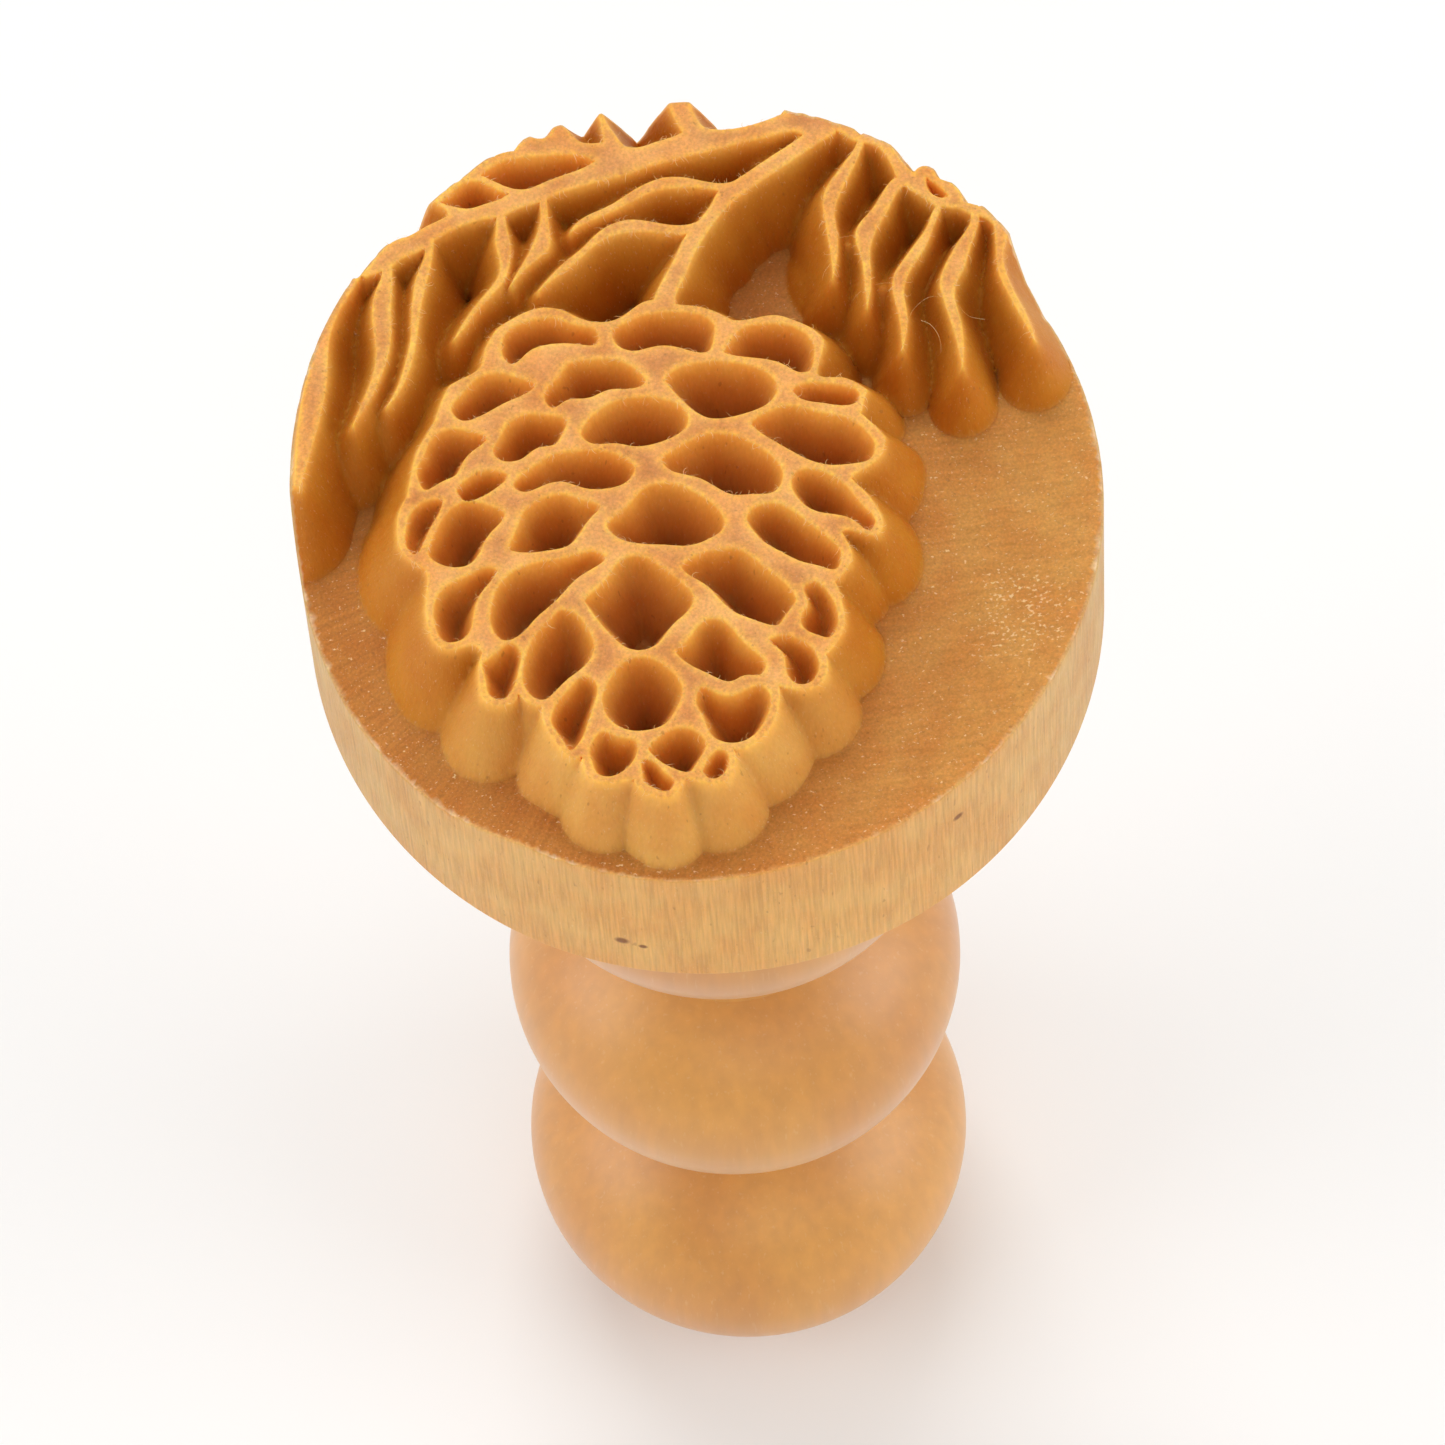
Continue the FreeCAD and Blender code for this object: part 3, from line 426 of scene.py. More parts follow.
def face_points():
    """Places on the face (x, y), with the rim's first: their height, how far outside a flat top and
    how far above the ground each one is, and whether it is in a closed pocket."""
    points, triangles = mesh_arrays(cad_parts["stamp_head"])
    outline, inward, slopes, off_rim = cut_lines(points, triangles)
    limit = HEAD_RADIUS - RIM_BREAK
    tree = tree_of(outline[off_rim])
    slopes = slopes[off_rim]

    rows = []
    # Points of a row that come nearer to another stretch of edge are left out.
    for shift in EDGE_ROWS:
        row = outline + inward * shift
        rows.append(row[nearest(tree, row) > 0.8 * abs(shift)])
    walls = hex_grid(WALL_STEP)
    feet = foot_points(walls, outline[off_rim], slopes, tree)
    near = nearest(tree, walls)
    from_foot = nearest(tree_of(feet), walls)
    rows.append(walls[(near > WALL_OFF_EDGE) & (near < WALL_REACH) & (from_foot > WALL_OFF_FOOT)])
    rows.append(feet)
    flats = hex_grid(FLAT_STEP)
    rows.append(flats[nearest(tree, flats) >= WALL_REACH])
    around = np.concatenate(rows)
    places = np.concatenate([outline[off_rim], around])
    places = places[np.linalg.norm(places, axis=1) < limit - FACE_OFF_RIM]
    places = np.concatenate([ring(limit, RIM_POINTS), places])
    found = [tree.find((x, y, 0)) for x, y in places]
    distance = np.array([item[2] for item in found])
    slope = slopes[[item[1] for item in found]]
    inside = inside_tops(points, triangles, places)
    on_line = distance < ON_THE_LINE
    outside = np.where(inside | on_line, 0, distance)
    wall = TOP_Z - wall_drop(outside, slope)
    pocket = (slope == POCKET_SLOPE) & ~inside
    ground = ground_height(places) - POCKET_DEEPER * pocket
    for x, y, depth in SADDLES:
        away = np.linalg.norm(places - (x, y), axis=1)
        wall = np.maximum(wall, TOP_Z - depth - SADDLE_SLOPE * away)
    height = np.where(inside & ~on_line, TOP_Z - edge_drop(distance), np.maximum(wall, ground))
    return places, height, np.where(inside, -distance, distance), wall - ground, pocket


def relax(height, faces, weight, rounds):
    """Rounds off the height where weight is 1, keeping it where weight is 0."""
    edges = np.concatenate([faces[:, [0, 1]], faces[:, [1, 2]], faces[:, [2, 0]]])
    for _ in range(rounds):
        total = np.bincount(edges[:, 0], height[edges[:, 1]], len(height))
        count = np.bincount(edges[:, 0], minlength=len(height))
        mean = np.where(count > 0, total / np.maximum(count, 1), height)
        height = height + weight * RELAX_STEP * (mean - height)
    return height


def roughness(places, scale, seed):
    """Smooth noise from about -1 to 1, with features of this size in millimetres."""
    return np.array([noise.noise((x / scale, y / scale, seed)) for x, y in places])


# ---- the carved head ----
def side_rings(rim_height):
    """Rings from just below the face down the side and round the edge of the back."""
    break_radius = HEAD_RADIUS - RIM_BREAK_MIDDLE
    rings = [np.column_stack([ring(break_radius, RIM_POINTS), rim_height - RIM_BREAK_MIDDLE])]
    side_z = GROUND_Z - LEVEL_BELOW
    for share in (0, 0.2, 0.5, 1.0):
        z = (rim_height - RIM_BREAK) * (1 - share) + side_z * share
        rings.append(np.column_stack([ring(HEAD_RADIUS, RIM_POINTS), z]))
    low_z = BACK_Z + BACK_ROUND
    middle_z = np.full(RIM_POINTS, (side_z + low_z) / 2)
    rings.append(np.column_stack([ring(HEAD_RADIUS, RIM_POINTS), middle_z]))
    for angle in np.arange(5) * math.pi / 8:
        radius = HEAD_RADIUS - BACK_ROUND * (1 - math.cos(angle))
        z = low_z - BACK_ROUND * math.sin(angle)
        rings.append(np.column_stack([ring(radius, RIM_POINTS), np.full(RIM_POINTS, z)]))
    return rings


def back_rings():
    """Rings over the back and up the bore."""
    outline = [(HEAD_RADIUS * 0.9, BACK_Z), (HEAD_RADIUS * 0.5, BACK_Z), (BORE_RADIUS, BACK_Z),
               (BORE_RADIUS, BORE_TOP_Z), (BORE_RADIUS / 2, BORE_TOP_Z)]
    return [np.column_stack([ring(radius, BACK_POINTS), np.full(BACK_POINTS, z)]) for radius, z in outline]


def bridge(faces, previous, here):
    """Quads between two rings with as many points each."""
    for i in range(len(here)):
        j = (i + 1) % len(here)
        faces.append((previous[j], previous[i], here[i], here[j]))


def bridge_fewer(faces, previous, here):
    """Triangles from a ring to one with fewer points."""
    step = len(previous) // len(here)
    for i in range(len(here)):
        j = (i + 1) % len(here)
        for k in range(step):
            tip = here[i] if k < step // 2 else here[j]
            faces.append((previous[(step * i + k + 1) % len(previous)], previous[step * i + k], tip))
        faces.append((here[i], here[j], previous[step * i + step // 2]))


def blend_of(weight, low, high):
    """Colours from low to high by weight."""
    weight = np.clip(weight, 0, 1)[:, None]
    return np.array(low) * (1 - weight) + np.array(high) * weight


def tool_streaks(places):
    """Streaks left by the gouge in the ground: towards the middle at the left, along X at the right."""
    radius = np.linalg.norm(places, axis=1)
    around = np.arctan2(places[:, 1], -places[:, 0]) * HEAD_RADIUS
    towards_middle = np.stack([radius / STREAK_DRAWN_OUT, around], axis=1)
    along_x = np.stack([places[:, 0] / STREAK_DRAWN_OUT, places[:, 1]], axis=1)
    radial = roughness(towards_middle, STREAK_WIDTH, 1.9)
    level = roughness(along_x, STREAK_WIDTH, 7.2)
    right = np.clip(places[:, 0] / 4, 0, 1)
    return radial * (1 - right) + level * right


def face_tint(places, height, signed, above_ground, pocket):
    """Colour of the bare wood (dull tops, amber walls, painted light on the edges and the front walls), and
    its shares of ground and wall.
    """
    drop = TOP_Z - height
    # Painted light: the walls are painted lighter towards the front.
    wall = blend_of((FRONT_START - places[:, 1]) / FRONT_FADE, OUTER_WALL, FRONT_WALL_PAINTED_LIGHT)
    wall[pocket] = blend_of(drop / POCKET_FADE, POCKET_HIGH, POCKET_LOW)[pocket]
    # Painted light: the walls are painted brighter just below the edges of the tops.
    painted_edge_light = np.exp(-drop / EDGE_PAINTED_LIGHT_DEPTH)[:, None]
    wall = wall * (1 - painted_edge_light) + np.array(EDGE_PAINTED_LIGHT) * painted_edge_light
    ground = blend_of((places[:, 0] - RIGHT_START) / RIGHT_FADE, GROUND_LEFT, GROUND_RIGHT)
    on_ground = (np.clip(0.5 - above_ground / 0.12, 0, 1) * ~pocket)[:, None]
    colour = wall * (1 - on_ground) + ground * on_ground
    top = blend_of(0.5 + 0.9 * roughness(places, 1.3, 11.7), TOP_DULL, TOP_BRIGHT)
    # Painted light: the tops are painted brighter in along their edges.
    inward_painted_light = np.exp(np.minimum(signed, 0) / EDGE_PAINTED_LIGHT_WIDTH)
    top = blend_of(inward_painted_light * (0.75 + 0.7 * roughness(places, 0.17, 5.5)), top, EDGE_PAINTED_LIGHT)
    on_top = np.clip(0.5 - signed / 0.05, 0, 1)[:, None]
    on_wall = ((1 - on_top) * (1 - on_ground))[:, 0]
    return colour * (1 - on_top) + top * on_top, on_ground[:, 0], on_wall


def cut_face():
    """The carved face as its tools left it: points (x, y), height, triangles, chips along the rim,
    and the colours and shares of ground and wall that go with them."""
    places, height, signed, above_ground, pocket = face_points()
    _, _, faces, _, _, _ = delaunay_2d_cdt([Vector(p) for p in places], [], [], 0, 1e-7, False)
    faces = np.array(faces)
    inner = np.arange(len(places)) >= RIM_POINTS
    # The walls are rounded off, but neither their edges nor their feet.
    on_wall = np.clip((signed - 0.2) / 0.3, 0, 1) * np.clip(above_ground / 0.4, 0, 1) * inner
    height = relax(height, faces, on_wall, 2)
    cut = np.clip(signed / UNEVEN_FROM, 0, 1) * inner
    waves = sum(depth * roughness(places, scale, seed) for depth, scale, seed in CUT_WAVES)
    height += cut * (waves + STREAK_DEPTH * tool_streaks(places))
    height = np.minimum(height, TOP_Z)
    chips = np.clip(1.6 * roughness(places[:RIM_POINTS], 0.5, 9.4), 0, 1)
    height[:RIM_POINTS] -= RIM_CHIPS * chips
    return places, height, faces.tolist(), chips, face_tint(places, height, signed, above_ground, pocket)


def paint_head(head, points, chips, tint):
    """Stores on the head's points the wood's colour with its painted light and sheen, where it is cut
    ground, and how far pores show.
    """
    tints, on_ground, on_wall = tint
    face = slice(RIM_POINTS, len(tints))
    colours = np.ones((len(points), 4))
    # Painted sheen: the side is painted duller and paler towards the left and right.
    colours[:, :3] = blend_of((points[:, 0] / HEAD_RADIUS) ** 2, SIDE_COLOUR, SIDE_PAINTED_SHEEN)
    colours[:, 3] = 0
    colours[:RIM_POINTS, :3] = blend_of(0.8 * chips, colours[:RIM_POINTS, :3], PALE_CHIP[:3])
    colours[face, :3] = tints[face]
    colours[face, 3] = on_ground[face]
    grit = np.ones(len(points))
    grit[:len(on_wall)] = 1 - 0.7 * on_wall
    head.data.attributes.new("tint", "FLOAT_COLOR", "POINT").data.foreach_set("color", colours.ravel())
    head.data.attributes.new("grit", "FLOAT", "POINT").data.foreach_set("value", grit)


def carved_head():
    """The whole head: carved face, side, back and bore, as one closed mesh."""
    places, height, faces, chips, tint = cut_face()
    rows = [np.column_stack([places, height])]
    count = len(places)
    previous = np.arange(RIM_POINTS)
    for row in side_rings(height[:RIM_POINTS]) + back_rings():
        here = np.arange(count, count + len(row))
        if len(here) < len(previous):
            bridge_fewer(faces, previous, here)
        else:
            bridge(faces, previous, here)
        rows.append(row)
        previous = here
        count += len(row)
    rows.append(np.array([[0, 0, BORE_TOP_Z]]))
    for i in range(len(previous)):
        faces.append((previous[(i + 1) % len(previous)], previous[i], count))
    points = np.concatenate(rows)
    faces = [tuple(int(k) for k in face) for face in faces]
    head = new_object("carved_head", points, faces)
    paint_head(head, points, chips, tint)
    head.data.shade_smooth()
    head.data.set_sharp_from_angle(angle=math.radians(HEAD_SHARP))
    return head


# ---- the turned handle ----
def arc_points(start, middle, end, count):
    """Points of a circle's arc through three points, from the first to the last."""
    (ax, ay), (bx, by), (cx, cy) = start, middle, end
    d = 2 * (ax * (by - cy) + bx * (cy - ay) + cx * (ay - by))
    a2, b2, c2 = ax * ax + ay * ay, bx * bx + by * by, cx * cx + cy * cy
    x = (a2 * (by - cy) + b2 * (cy - ay) + c2 * (ay - by)) / d
    y = (a2 * (cx - bx) + b2 * (ax - cx) + c2 * (bx - ax)) / d
    radius = math.hypot(ax - x, ay - y)
    first = math.atan2(ay - y, ax - x)
    sweep = (math.atan2(cy - y, cx - x) - first) % (2 * math.pi)
    through = (math.atan2(by - y, bx - x) - first) % (2 * math.pi)
    if through > sweep:
        sweep -= 2 * math.pi
    angles = first + sweep * np.linspace(0, 1, count)
    return [(x + radius * math.cos(t), y + radius * math.sin(t)) for t in angles]


def ball_side(centre, radius_below, radius_above):
    """Points up the side of a ball that is a little flattened along the axis."""
    low = -math.acos(radius_below / BALL_RADIUS)
    high = math.acos(radius_above / BALL_RADIUS)
    return [(BALL_RADIUS * math.cos(t), centre + BALL_HALF_HEIGHT * math.sin(t))
            for t in np.linspace(low, high, BALL_STEPS)]


def ball_height(radius):
    """Height above a ball's centre at which its side has this radius."""
    return BALL_HALF_HEIGHT * math.sqrt(1 - (radius / BALL_RADIUS) ** 2)


def handle_profile():
    """Radius and height along the handle, from the middle of the foot to the bottom of its bore."""
    lowest = ball_height(FOOT_RADIUS)
    round_in, round_up = FOOT_ROUND_MIDDLE
    profile = [(0.0, 0.0), (FOOT_RADIUS * 0.5, 0.0), (FOOT_RADIUS - FOOT_ROUND, 0.0)]
    profile.append((FOOT_RADIUS - round_in, round_up))
    for i in range(BALL_COUNT):
        centre = lowest + i * BALL_PITCH
        side = ball_side(centre, FOOT_RADIUS if i == 0 else WAIST_RADIUS, WAIST_RADIUS)
        profile += side[1:]
        above = side[-1]
        if i < BALL_COUNT - 1:
            cove = (WAIST_RADIUS - WAIST_COVE, centre + BALL_PITCH / 2)
            below = (WAIST_RADIUS, centre + BALL_PITCH - ball_height(WAIST_RADIUS))
            profile += arc_points(above, cove, below, COVE_STEPS)[1:]
    collar_z = HANDLE_HIGH.z - COLLAR_THICKNESS
    half_collar = COLLAR_THICKNESS / 2
    lip_low = (COLLAR_RADIUS - half_collar, collar_z)
    lip_outer = (COLLAR_RADIUS, HANDLE_HIGH.z - half_collar)
    lip_high = (COLLAR_RADIUS - half_collar, HANDLE_HIGH.z)
    neck_middle = (NECK_RADIUS, above[1] + NECK_SWEEP * (collar_z - above[1]))
    profile += arc_points(above, neck_middle, lip_low, NECK_STEPS)[1:]
    profile += arc_points(lip_low, lip_outer, lip_high, LIP_STEPS)[1:]
    profile += [(BORE_RADIUS, HANDLE_HIGH.z), (BORE_RADIUS, PIN_LOW.z), (0.0, PIN_LOW.z)]
    return profile


def turned_handle():
    """The handle as a lathe turns it, with faint tool rings."""
    profile = handle_profile()
    around = HANDLE_POINTS
    points = [(0, 0, profile[0][1])]
    faces = []
    for radius, z in profile[1:-1]:
        outer = radius > BORE_RADIUS and ENDS_PLAIN < z < HANDLE_HIGH.z - ENDS_PLAIN
        dip = TOOL_RINGS * (1 + noise.noise((z * 2.1, radius * 0.4, 5.0))) if outer else 0
        flat = ring(radius - dip, around)
        points += [(x, y, z) for x, y in flat]
    rings = len(profile) - 2
    for row in range(rings - 1):
        low = 1 + row * around
        for i in range(around):
            j = (i + 1) % around
            faces.append((low + i, low + j, low + around + j, low + around + i))
    points.append((0, 0, profile[-1][1]))
    last = 1 + (rings - 1) * around
    for i in range(around):
        j = (i + 1) % around
        faces.append((0, 1 + j, 1 + i))
        faces.append((last + i, last + j, len(points) - 1))
    handle = new_object("turned_handle", points, faces)
    handle.data.shade_smooth()
    handle.data.set_sharp_from_angle(angle=math.radians(HANDLE_SHARP))
    return handle


# ---- loose fibres along the cut edges ----
def strand(points, faces, path, radius):
    """Adds a thin three-sided strand that tapers to a point."""
    path = np.asarray(path)
    first = len(points)
    for i, centre in enumerate(path[:-1]):
        along = path[i + 1] - centre
        across = np.cross(along, (0.3, 0.2, 1.0))
        across /= max(np.linalg.norm(across), 1e-9)
        other = np.cross(along, across)
        other /= max(np.linalg.norm(other), 1e-9)
        thick = radius * (1 - STRAND_TAPER * i / len(path))
        for k in range(3):
            angle = 2 * math.pi * k / 3
            points.append(centre + thick * (math.cos(angle) * across + math.sin(angle) * other))
    points.append(path[-1])
    rows = len(path) - 1
    for i in range(rows - 1):
        for k in range(3):
            a = first + 3 * i + k
            b = first + 3 * i + (k + 1) % 3
            faces.append((a, b, b + 3, a + 3))
    tip = first + 3 * rows
    for k in range(3):
        faces.append((first + 3 * (rows - 1) + k, first + 3 * (rows - 1) + (k + 1) % 3, tip))
    faces.append((first + 2, first + 1, first))


def burr_path(rng, place, outward):
    """A short curl outwards and down from an edge of the relief."""
    along = np.array([outward[1], -outward[0]]) * rng.uniform(-1.2, 1.2)
    heading = outward + along
    length = rng.uniform(*BURR_LENGTH)
    curl = rng.uniform(-1.5, 1.5)
    fall = rng.uniform(0.1, 1.2)
    path = []
    for t in (0, 0.35, 0.7, 1.0):
        turn = curl * t
        step = np.array([heading[0] * math.cos(turn) - heading[1] * math.sin(turn),
                         heading[0] * math.sin(turn) + heading[1] * math.cos(turn)])
        flat = place - outward * BURR_ROOT + step * length * t
        flat *= min(1, FIBRE_LIMIT / np.linalg.norm(flat))
        path.append((flat[0], flat[1], FIBRE_CEILING - fall * length * t ** 1.5))
    return path


def hair_path(rng):
    """A long, nearly level hair across the needles, roughly along X."""
    start = np.array([rng.uniform(*HAIR_X), rng.uniform(*HAIR_Y)])
    heading = rng.uniform(-0.5, 0.5) + (math.pi if rng.random() < 0.5 else 0)
    length = rng.uniform(*HAIR_LENGTH)
    level = FIBRE_CEILING - rng.uniform(0.05, 0.5)
    bend = rng.uniform(-0.8, 0.8)
    path = []
    for t in np.linspace(0, 1, 9):
        angle = heading + bend * t
        flat = start + length * t * np.array([math.cos(angle), math.sin(angle)])
        path.append((flat[0], flat[1], level + 0.04 * math.sin(9 * t + bend)))
    return path


def wood_fibres():
    """Short burrs on the edges of the relief, and a few long hairs across the right-hand needles."""
    rng = np.random.default_rng(21)
    mesh_points, triangles = mesh_arrays(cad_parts["stamp_head"])
    points = []
    faces = []
    for loop in top_loops(mesh_points, triangles):
        for place, inward in zip(*smooth_loop(loop)):
            if rng.random() > FIBRE_SHARE or np.linalg.norm(place) > HEAD_RADIUS - FIBRE_OFF_RIM:
                continue
            path = burr_path(rng, place, -inward)
            strand(points, faces, path, rng.uniform(*BURR_RADIUS))
    for _ in range(LONG_HAIRS):
        strand(points, faces, hair_path(rng), HAIR_RADIUS)
    return new_object("wood_fibres", points, faces)


# ---- materials ----
def node(tree, kind, inputs, **options):
    """A shader node; an input is a plain value or the socket that feeds it."""
    made = tree.nodes.new("ShaderNode" + kind)
    for name, value in options.items():
        setattr(made, name, value)
    for key, value in inputs.items():
        if isinstance(value, bpy.types.NodeSocket):
            tree.links.new(value, made.inputs[key])
        else:
            made.inputs[key].default_value = value
    return made


def new_material(name):
    """A new material, with its node tree and its main shader."""
    material = bpy.data.materials.new(name)
    material.use_nodes = True
    return material, material.node_tree, material.node_tree.nodes["Principled BSDF"]


def grain(tree, across_x, across_y, along, detail=3.0):
    """Noise that is fine across the wood and drawn out along it; the values are features per millimetre."""
    place = node(tree, "TexCoord", {}).outputs["Object"]
    scale = [across_x / MM, across_y / MM, along / MM]
    mapped = node(tree, "Mapping", {"Vector": place, "Scale": scale}).outputs["Vector"]
    return node(tree, "TexNoise", {"Vector": mapped, "Scale": 1.0, "Detail": detail}).outputs["Fac"]


def spread(tree, value, low, high, to_low, to_high):
    """The value, from low..high to to_low..to_high, and no further."""
    return node(tree, "MapRange", {"Value": value, "From Min": low, "From Max": high, "To Min": to_low,
                                   "To Max": to_high}).outputs["Result"]


def mix(tree, factor, first, second, blend="MIX"):
    """Two colours mixed by a factor."""
    made = node(tree, "Mix", {0: factor, 6: first, 7: second}, data_type="RGBA", blend_type=blend)
    return made.outputs[2]


def bump(tree, bsdf, value, depth, strength):
    """Fine relief, with its depth in millimetres."""
    made = node(tree, "Bump", {"Height": value, "Distance": depth * MM, "Strength": strength})
    tree.links.new(made.outputs["Normal"], bsdf.inputs["Normal"])


def spot(tree, angle, below_top, size):
    """1 inside a small spot on the side of the head, fading to 0 around it."""
    turn = math.radians(angle)
    x = HEAD_RADIUS * math.cos(turn)
    y = HEAD_RADIUS * math.sin(turn)
    centre = (x * MM, y * MM, (TOP_Z - below_top) * MM)
    place = node(tree, "TexCoord", {}).outputs["Object"]
    away = node(tree, "VectorMath", {0: place, 1: centre}, operation="DISTANCE").outputs["Value"]
    return spread(tree, away, 0.5 * size * MM, size * MM, 1.0, 0.0)


def gouge_streaks(tree):
    """Fine streaks for the ground: towards the middle at the left, along X at the right."""
    place = node(tree, "TexCoord", {}).outputs["Object"]
    turn = node(tree, "TexGradient", {"Vector": place}, gradient_type="RADIAL").outputs["Fac"]
    around = node(tree, "Math", {0: turn, 1: STREAKS_AROUND}, operation="MULTIPLY").outputs["Value"]
    radial = node(tree, "TexNoise", {"W": around, "Scale": 1.0, "Detail": 3.0}, noise_dimensions="1D")
    x = node(tree, "SeparateXYZ", {"Vector": place}).outputs["X"]
    right = spread(tree, x, 0.0, 5 * MM, 0.0, 1.0)
    return mix(tree, right, radial.outputs["Fac"], grain(tree, 0.5, 5.0, 5.0))


def pale_flecks(tree):
    """Small pale flecks of raised fibre on the ground, crowded in one patch."""
    place = node(tree, "TexCoord", {}).outputs["Object"]
    middle = (PALE_PATCH[0] * MM, PALE_PATCH[1] * MM, GROUND_Z * MM)
    away = node(tree, "VectorMath", {0: place, 1: middle}, operation="DISTANCE").outputs["Value"]
    start = spread(tree, away, 0.4 * PALE_PATCH_REACH * MM, PALE_PATCH_REACH * MM, 0.57, 0.66)
    speck = grain(tree, 5.5, 7.5, 3.0, 2.0)
    above = node(tree, "Math", {0: speck, 1: start}, operation="SUBTRACT").outputs["Value"]
    return spread(tree, above, 0.0, 0.07, 0.0, 0.7)


def carved_wood():
    """Oiled end grain, cut with fine gouges."""
    material, tree, bsdf = new_material("carved_wood")
    tint = node(tree, "Attribute", {}, attribute_name="tint")
    pores = grain(tree, 9.0, 9.0, 0.35, 5.0)
    mottle = grain(tree, 0.55, 0.55, 0.3, 4.0)
    mottled = mix(tree, spread(tree, mottle, 0.35, 0.65, 0.0, 1.0), MOTTLE_DEEP, MOTTLE_PALE)
    colour = mix(tree, 1.0, tint.outputs["Color"], mottled, "MULTIPLY")
    grit = node(tree, "Attribute", {}, attribute_name="grit").outputs["Fac"]
    colour = mix(tree, grit, colour, spread(tree, pores, 0.3, 0.7, 0.85, 1.13), "MULTIPLY")
    streaked = mix(tree, 1.0, colour, spread(tree, gouge_streaks(tree), 0.3, 0.7, 0.91, 1.06), "MULTIPLY")
    streaked = mix(tree, pale_flecks(tree), streaked, FLECK)
    colour = mix(tree, tint.outputs["Alpha"], colour, streaked)
    chips = grain(tree, 11.0, 11.0, 3.0, 3.0)
    colour = mix(tree, spread(tree, chips, 0.62, 0.8, 0.0, 0.35), colour, PALE_CHIP)
    ticks = grain(tree, 4.5, 4.5, 1.2, 1.0)
    colour = mix(tree, spread(tree, ticks, 0.29, 0.22, 0.0, 0.35), colour, DARK_PORE)
    for angle, below_top, size in DARK_SPOTS:
        colour = mix(tree, spot(tree, angle, below_top, size), colour, DARK_PORE)
    tree.links.new(colour, bsdf.inputs["Base Color"])
    tree.links.new(spread(tree, chips, 0.3, 0.7, 0.48, 0.7), bsdf.inputs["Roughness"])
    bsdf.inputs["Subsurface Weight"].default_value = 0.4
    bsdf.inputs["Subsurface Radius"].default_value = (1.0, 0.4, 0.08)
    bsdf.inputs["Subsurface Scale"].default_value = 1.2 * MM
    bsdf.inputs["Specular IOR Level"].default_value = 0.18
    bump(tree, bsdf, pores, 0.06, 0.5)
    return material


def lacquered_wood():
    """Long-grained turned wood under a satin lacquer."""
    material, tree, bsdf = new_material("lacquered_wood")
    streaks = grain(tree, 1.6, 1.6, 0.09, 5.0)
    clouds = grain(tree, 0.16, 0.16, 0.06, 1.0)
    flecks = grain(tree, 6.0, 6.0, 0.5, 2.0)
    colour = mix(tree, spread(tree, clouds, 0.35, 0.65, 0.0, 1.0), LACQUER_DEEP, LACQUER_PALE)
    colour = mix(tree, 1.0, colour, spread(tree, streaks, 0.3, 0.7, 0.93, 1.06), "MULTIPLY")
    colour = mix(tree, spread(tree, flecks, 0.62, 0.75, 0.0, 0.12), colour, PALE_CHIP)
    tree.links.new(colour, bsdf.inputs["Base Color"])
    tree.links.new(spread(tree, clouds, 0.3, 0.7, 0.4, 0.5), bsdf.inputs["Roughness"])
    bsdf.inputs["Coat Weight"].default_value = 1.0
    bsdf.inputs["Coat Roughness"].default_value = 0.4
    bsdf.inputs["Subsurface Weight"].default_value = 0.15
    bsdf.inputs["Subsurface Radius"].default_value = (1.0, 0.45, 0.12)
    bsdf.inputs["Subsurface Scale"].default_value = 0.8 * MM
    bump(tree, bsdf, streaks, 0.05, 0.25)
    return material


def dowel_wood():
    """Raw pale wood with its grain along the pin."""
    material, tree, bsdf = new_material("dowel_wood")
    streaks = grain(tree, 2.5, 2.5, 0.1, 4.0)
    colour = mix(tree, spread(tree, streaks, 0.3, 0.7, 0.0, 1.0), DOWEL_DEEP, DOWEL_PALE)
    tree.links.new(colour, bsdf.inputs["Base Color"])
    bsdf.inputs["Roughness"].default_value = 0.7
    bump(tree, bsdf, streaks, 0.05, 0.4)
    return material


def fibre_wood():
    """Pale torn fibres."""
    material, tree, bsdf = new_material("fibre_wood")
    tone = grain(tree, 1.2, 1.2, 1.2, 1.0)
    colour = mix(tree, spread(tree, tone, 0.3, 0.7, 0.0, 1.0), FIBRE_DEEP, FIBRE_PALE)
    tree.links.new(colour, bsdf.inputs["Base Color"])
    bsdf.inputs["Roughness"].default_value = 0.6
    bsdf.inputs["Subsurface Weight"].default_value = 0.3
    bsdf.inputs["Subsurface Scale"].default_value = 0.3 * MM
    return material


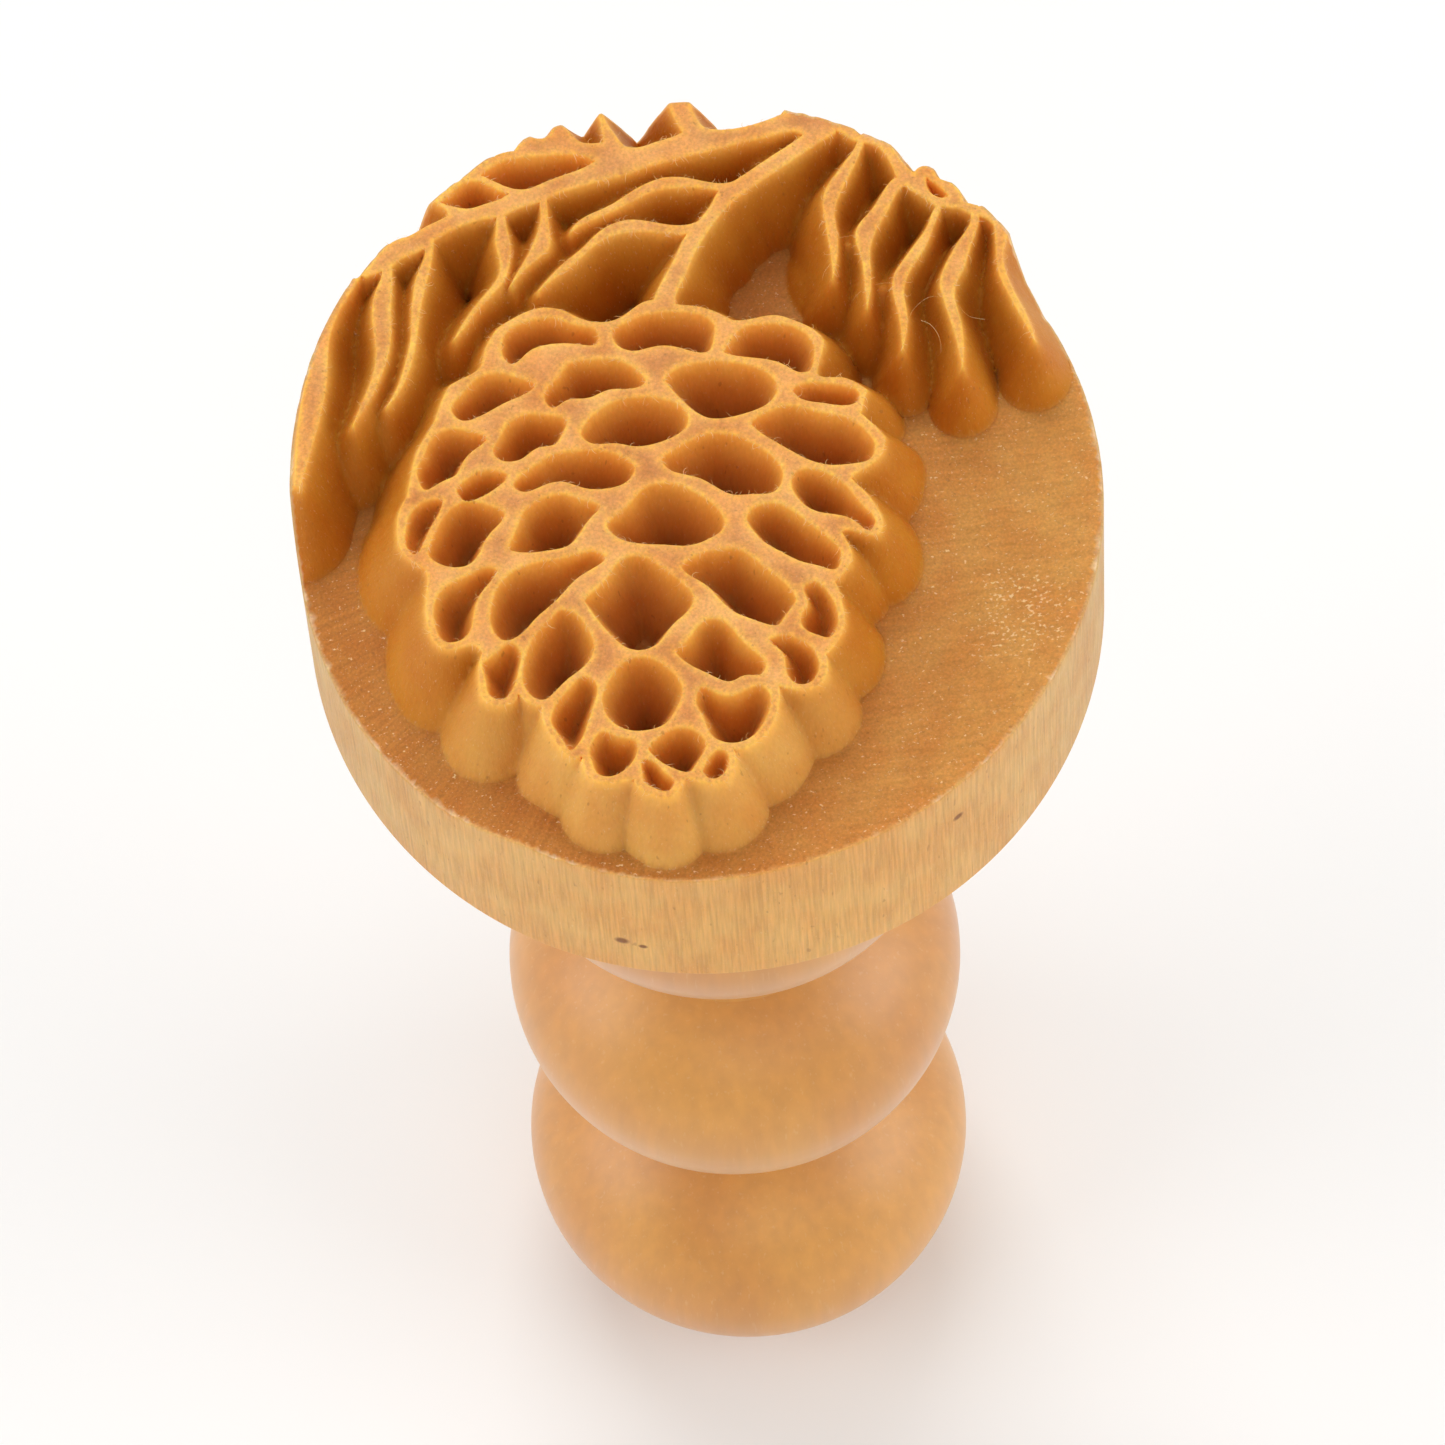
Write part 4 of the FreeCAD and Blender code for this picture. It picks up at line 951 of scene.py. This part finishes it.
# ---- stage ----
def add_camera():
    """A long lens that looks down on the face from the front."""
    lens = bpy.data.cameras.new("camera")
    lens.sensor_width = SENSOR_WIDTH
    lens.lens = LENS
    lens.clip_start = 0.05
    camera = bpy.data.objects.new("camera", lens)
    bpy.context.scene.collection.objects.link(camera)
    down = math.radians(LOOKING_DOWN)
    aimed_z = (BACK_Z + AIM_ABOVE_BACK) * MM
    place = (0, -CAMERA_REACH * math.cos(down), aimed_z + CAMERA_REACH * math.sin(down))
    turned = Matrix.Translation(place)
    turns = ((90 - LOOKING_DOWN, "X"), (FRAMING_PAN, "Y"), (FRAMING_TILT, "X"), (FRAMING_ROLL, "Z"))
    for angle, axis in turns:
        turned = turned @ Matrix.Rotation(math.radians(angle), 4, axis)
    camera.matrix_world = turned
    bpy.context.scene.camera = camera


def add_floor():
    """A plain pale floor, much wider than the picture."""
    mesh = bpy.data.meshes.new("floor")
    corners = [(-FLOOR_HALF, -FLOOR_HALF, 0), (FLOOR_HALF, -FLOOR_HALF, 0),
               (FLOOR_HALF, FLOOR_HALF, 0), (-FLOOR_HALF, FLOOR_HALF, 0)]
    mesh.from_pydata(corners, [], [(0, 1, 2, 3)])
    floor = bpy.data.objects.new("floor", mesh)
    bpy.context.scene.collection.objects.link(floor)
    material, _, bsdf = new_material("pale_floor")
    bsdf.inputs["Base Color"].default_value = FLOOR_COLOUR
    bsdf.inputs["Roughness"].default_value = 0.8
    mesh.materials.append(material)


def add_light(name, place, width, height, power):
    """A soft box aimed at the middle of the stamp."""
    data = bpy.data.lights.new(name, "AREA")
    data.shape = "RECTANGLE"
    data.size = width
    data.size_y = height
    data.energy = power
    light = bpy.data.objects.new(name, data)
    light.location = place
    aim = Vector(LIGHTS_AIM) - Vector(place)
    light.rotation_euler = aim.to_track_quat("-Z", "Y").to_euler()
    bpy.context.scene.collection.objects.link(light)


def add_world():
    """Even white light from all round."""
    world = bpy.data.worlds.new("studio")
    world.use_nodes = True
    background = world.node_tree.nodes["Background"]
    background.inputs["Color"].default_value = (1, 1, 1, 1)
    background.inputs["Strength"].default_value = WORLD_LIGHT
    bpy.context.scene.world = world


head = carved_head()
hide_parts("stamp_head")
head.data.materials.append(carved_wood())

fibres = wood_fibres()
fibres.data.materials.append(fibre_wood())

handle = turned_handle()
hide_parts("handle")
handle.data.materials.append(lacquered_wood())

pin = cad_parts["dowel_pin"]
pin.data.materials.clear()
pin.data.materials.append(dowel_wood())

add_camera()
add_floor()
add_world()
for soft_box in SOFT_BOXES:
    add_light(*soft_box)
bpy.context.scene.view_settings.view_transform = "Standard"
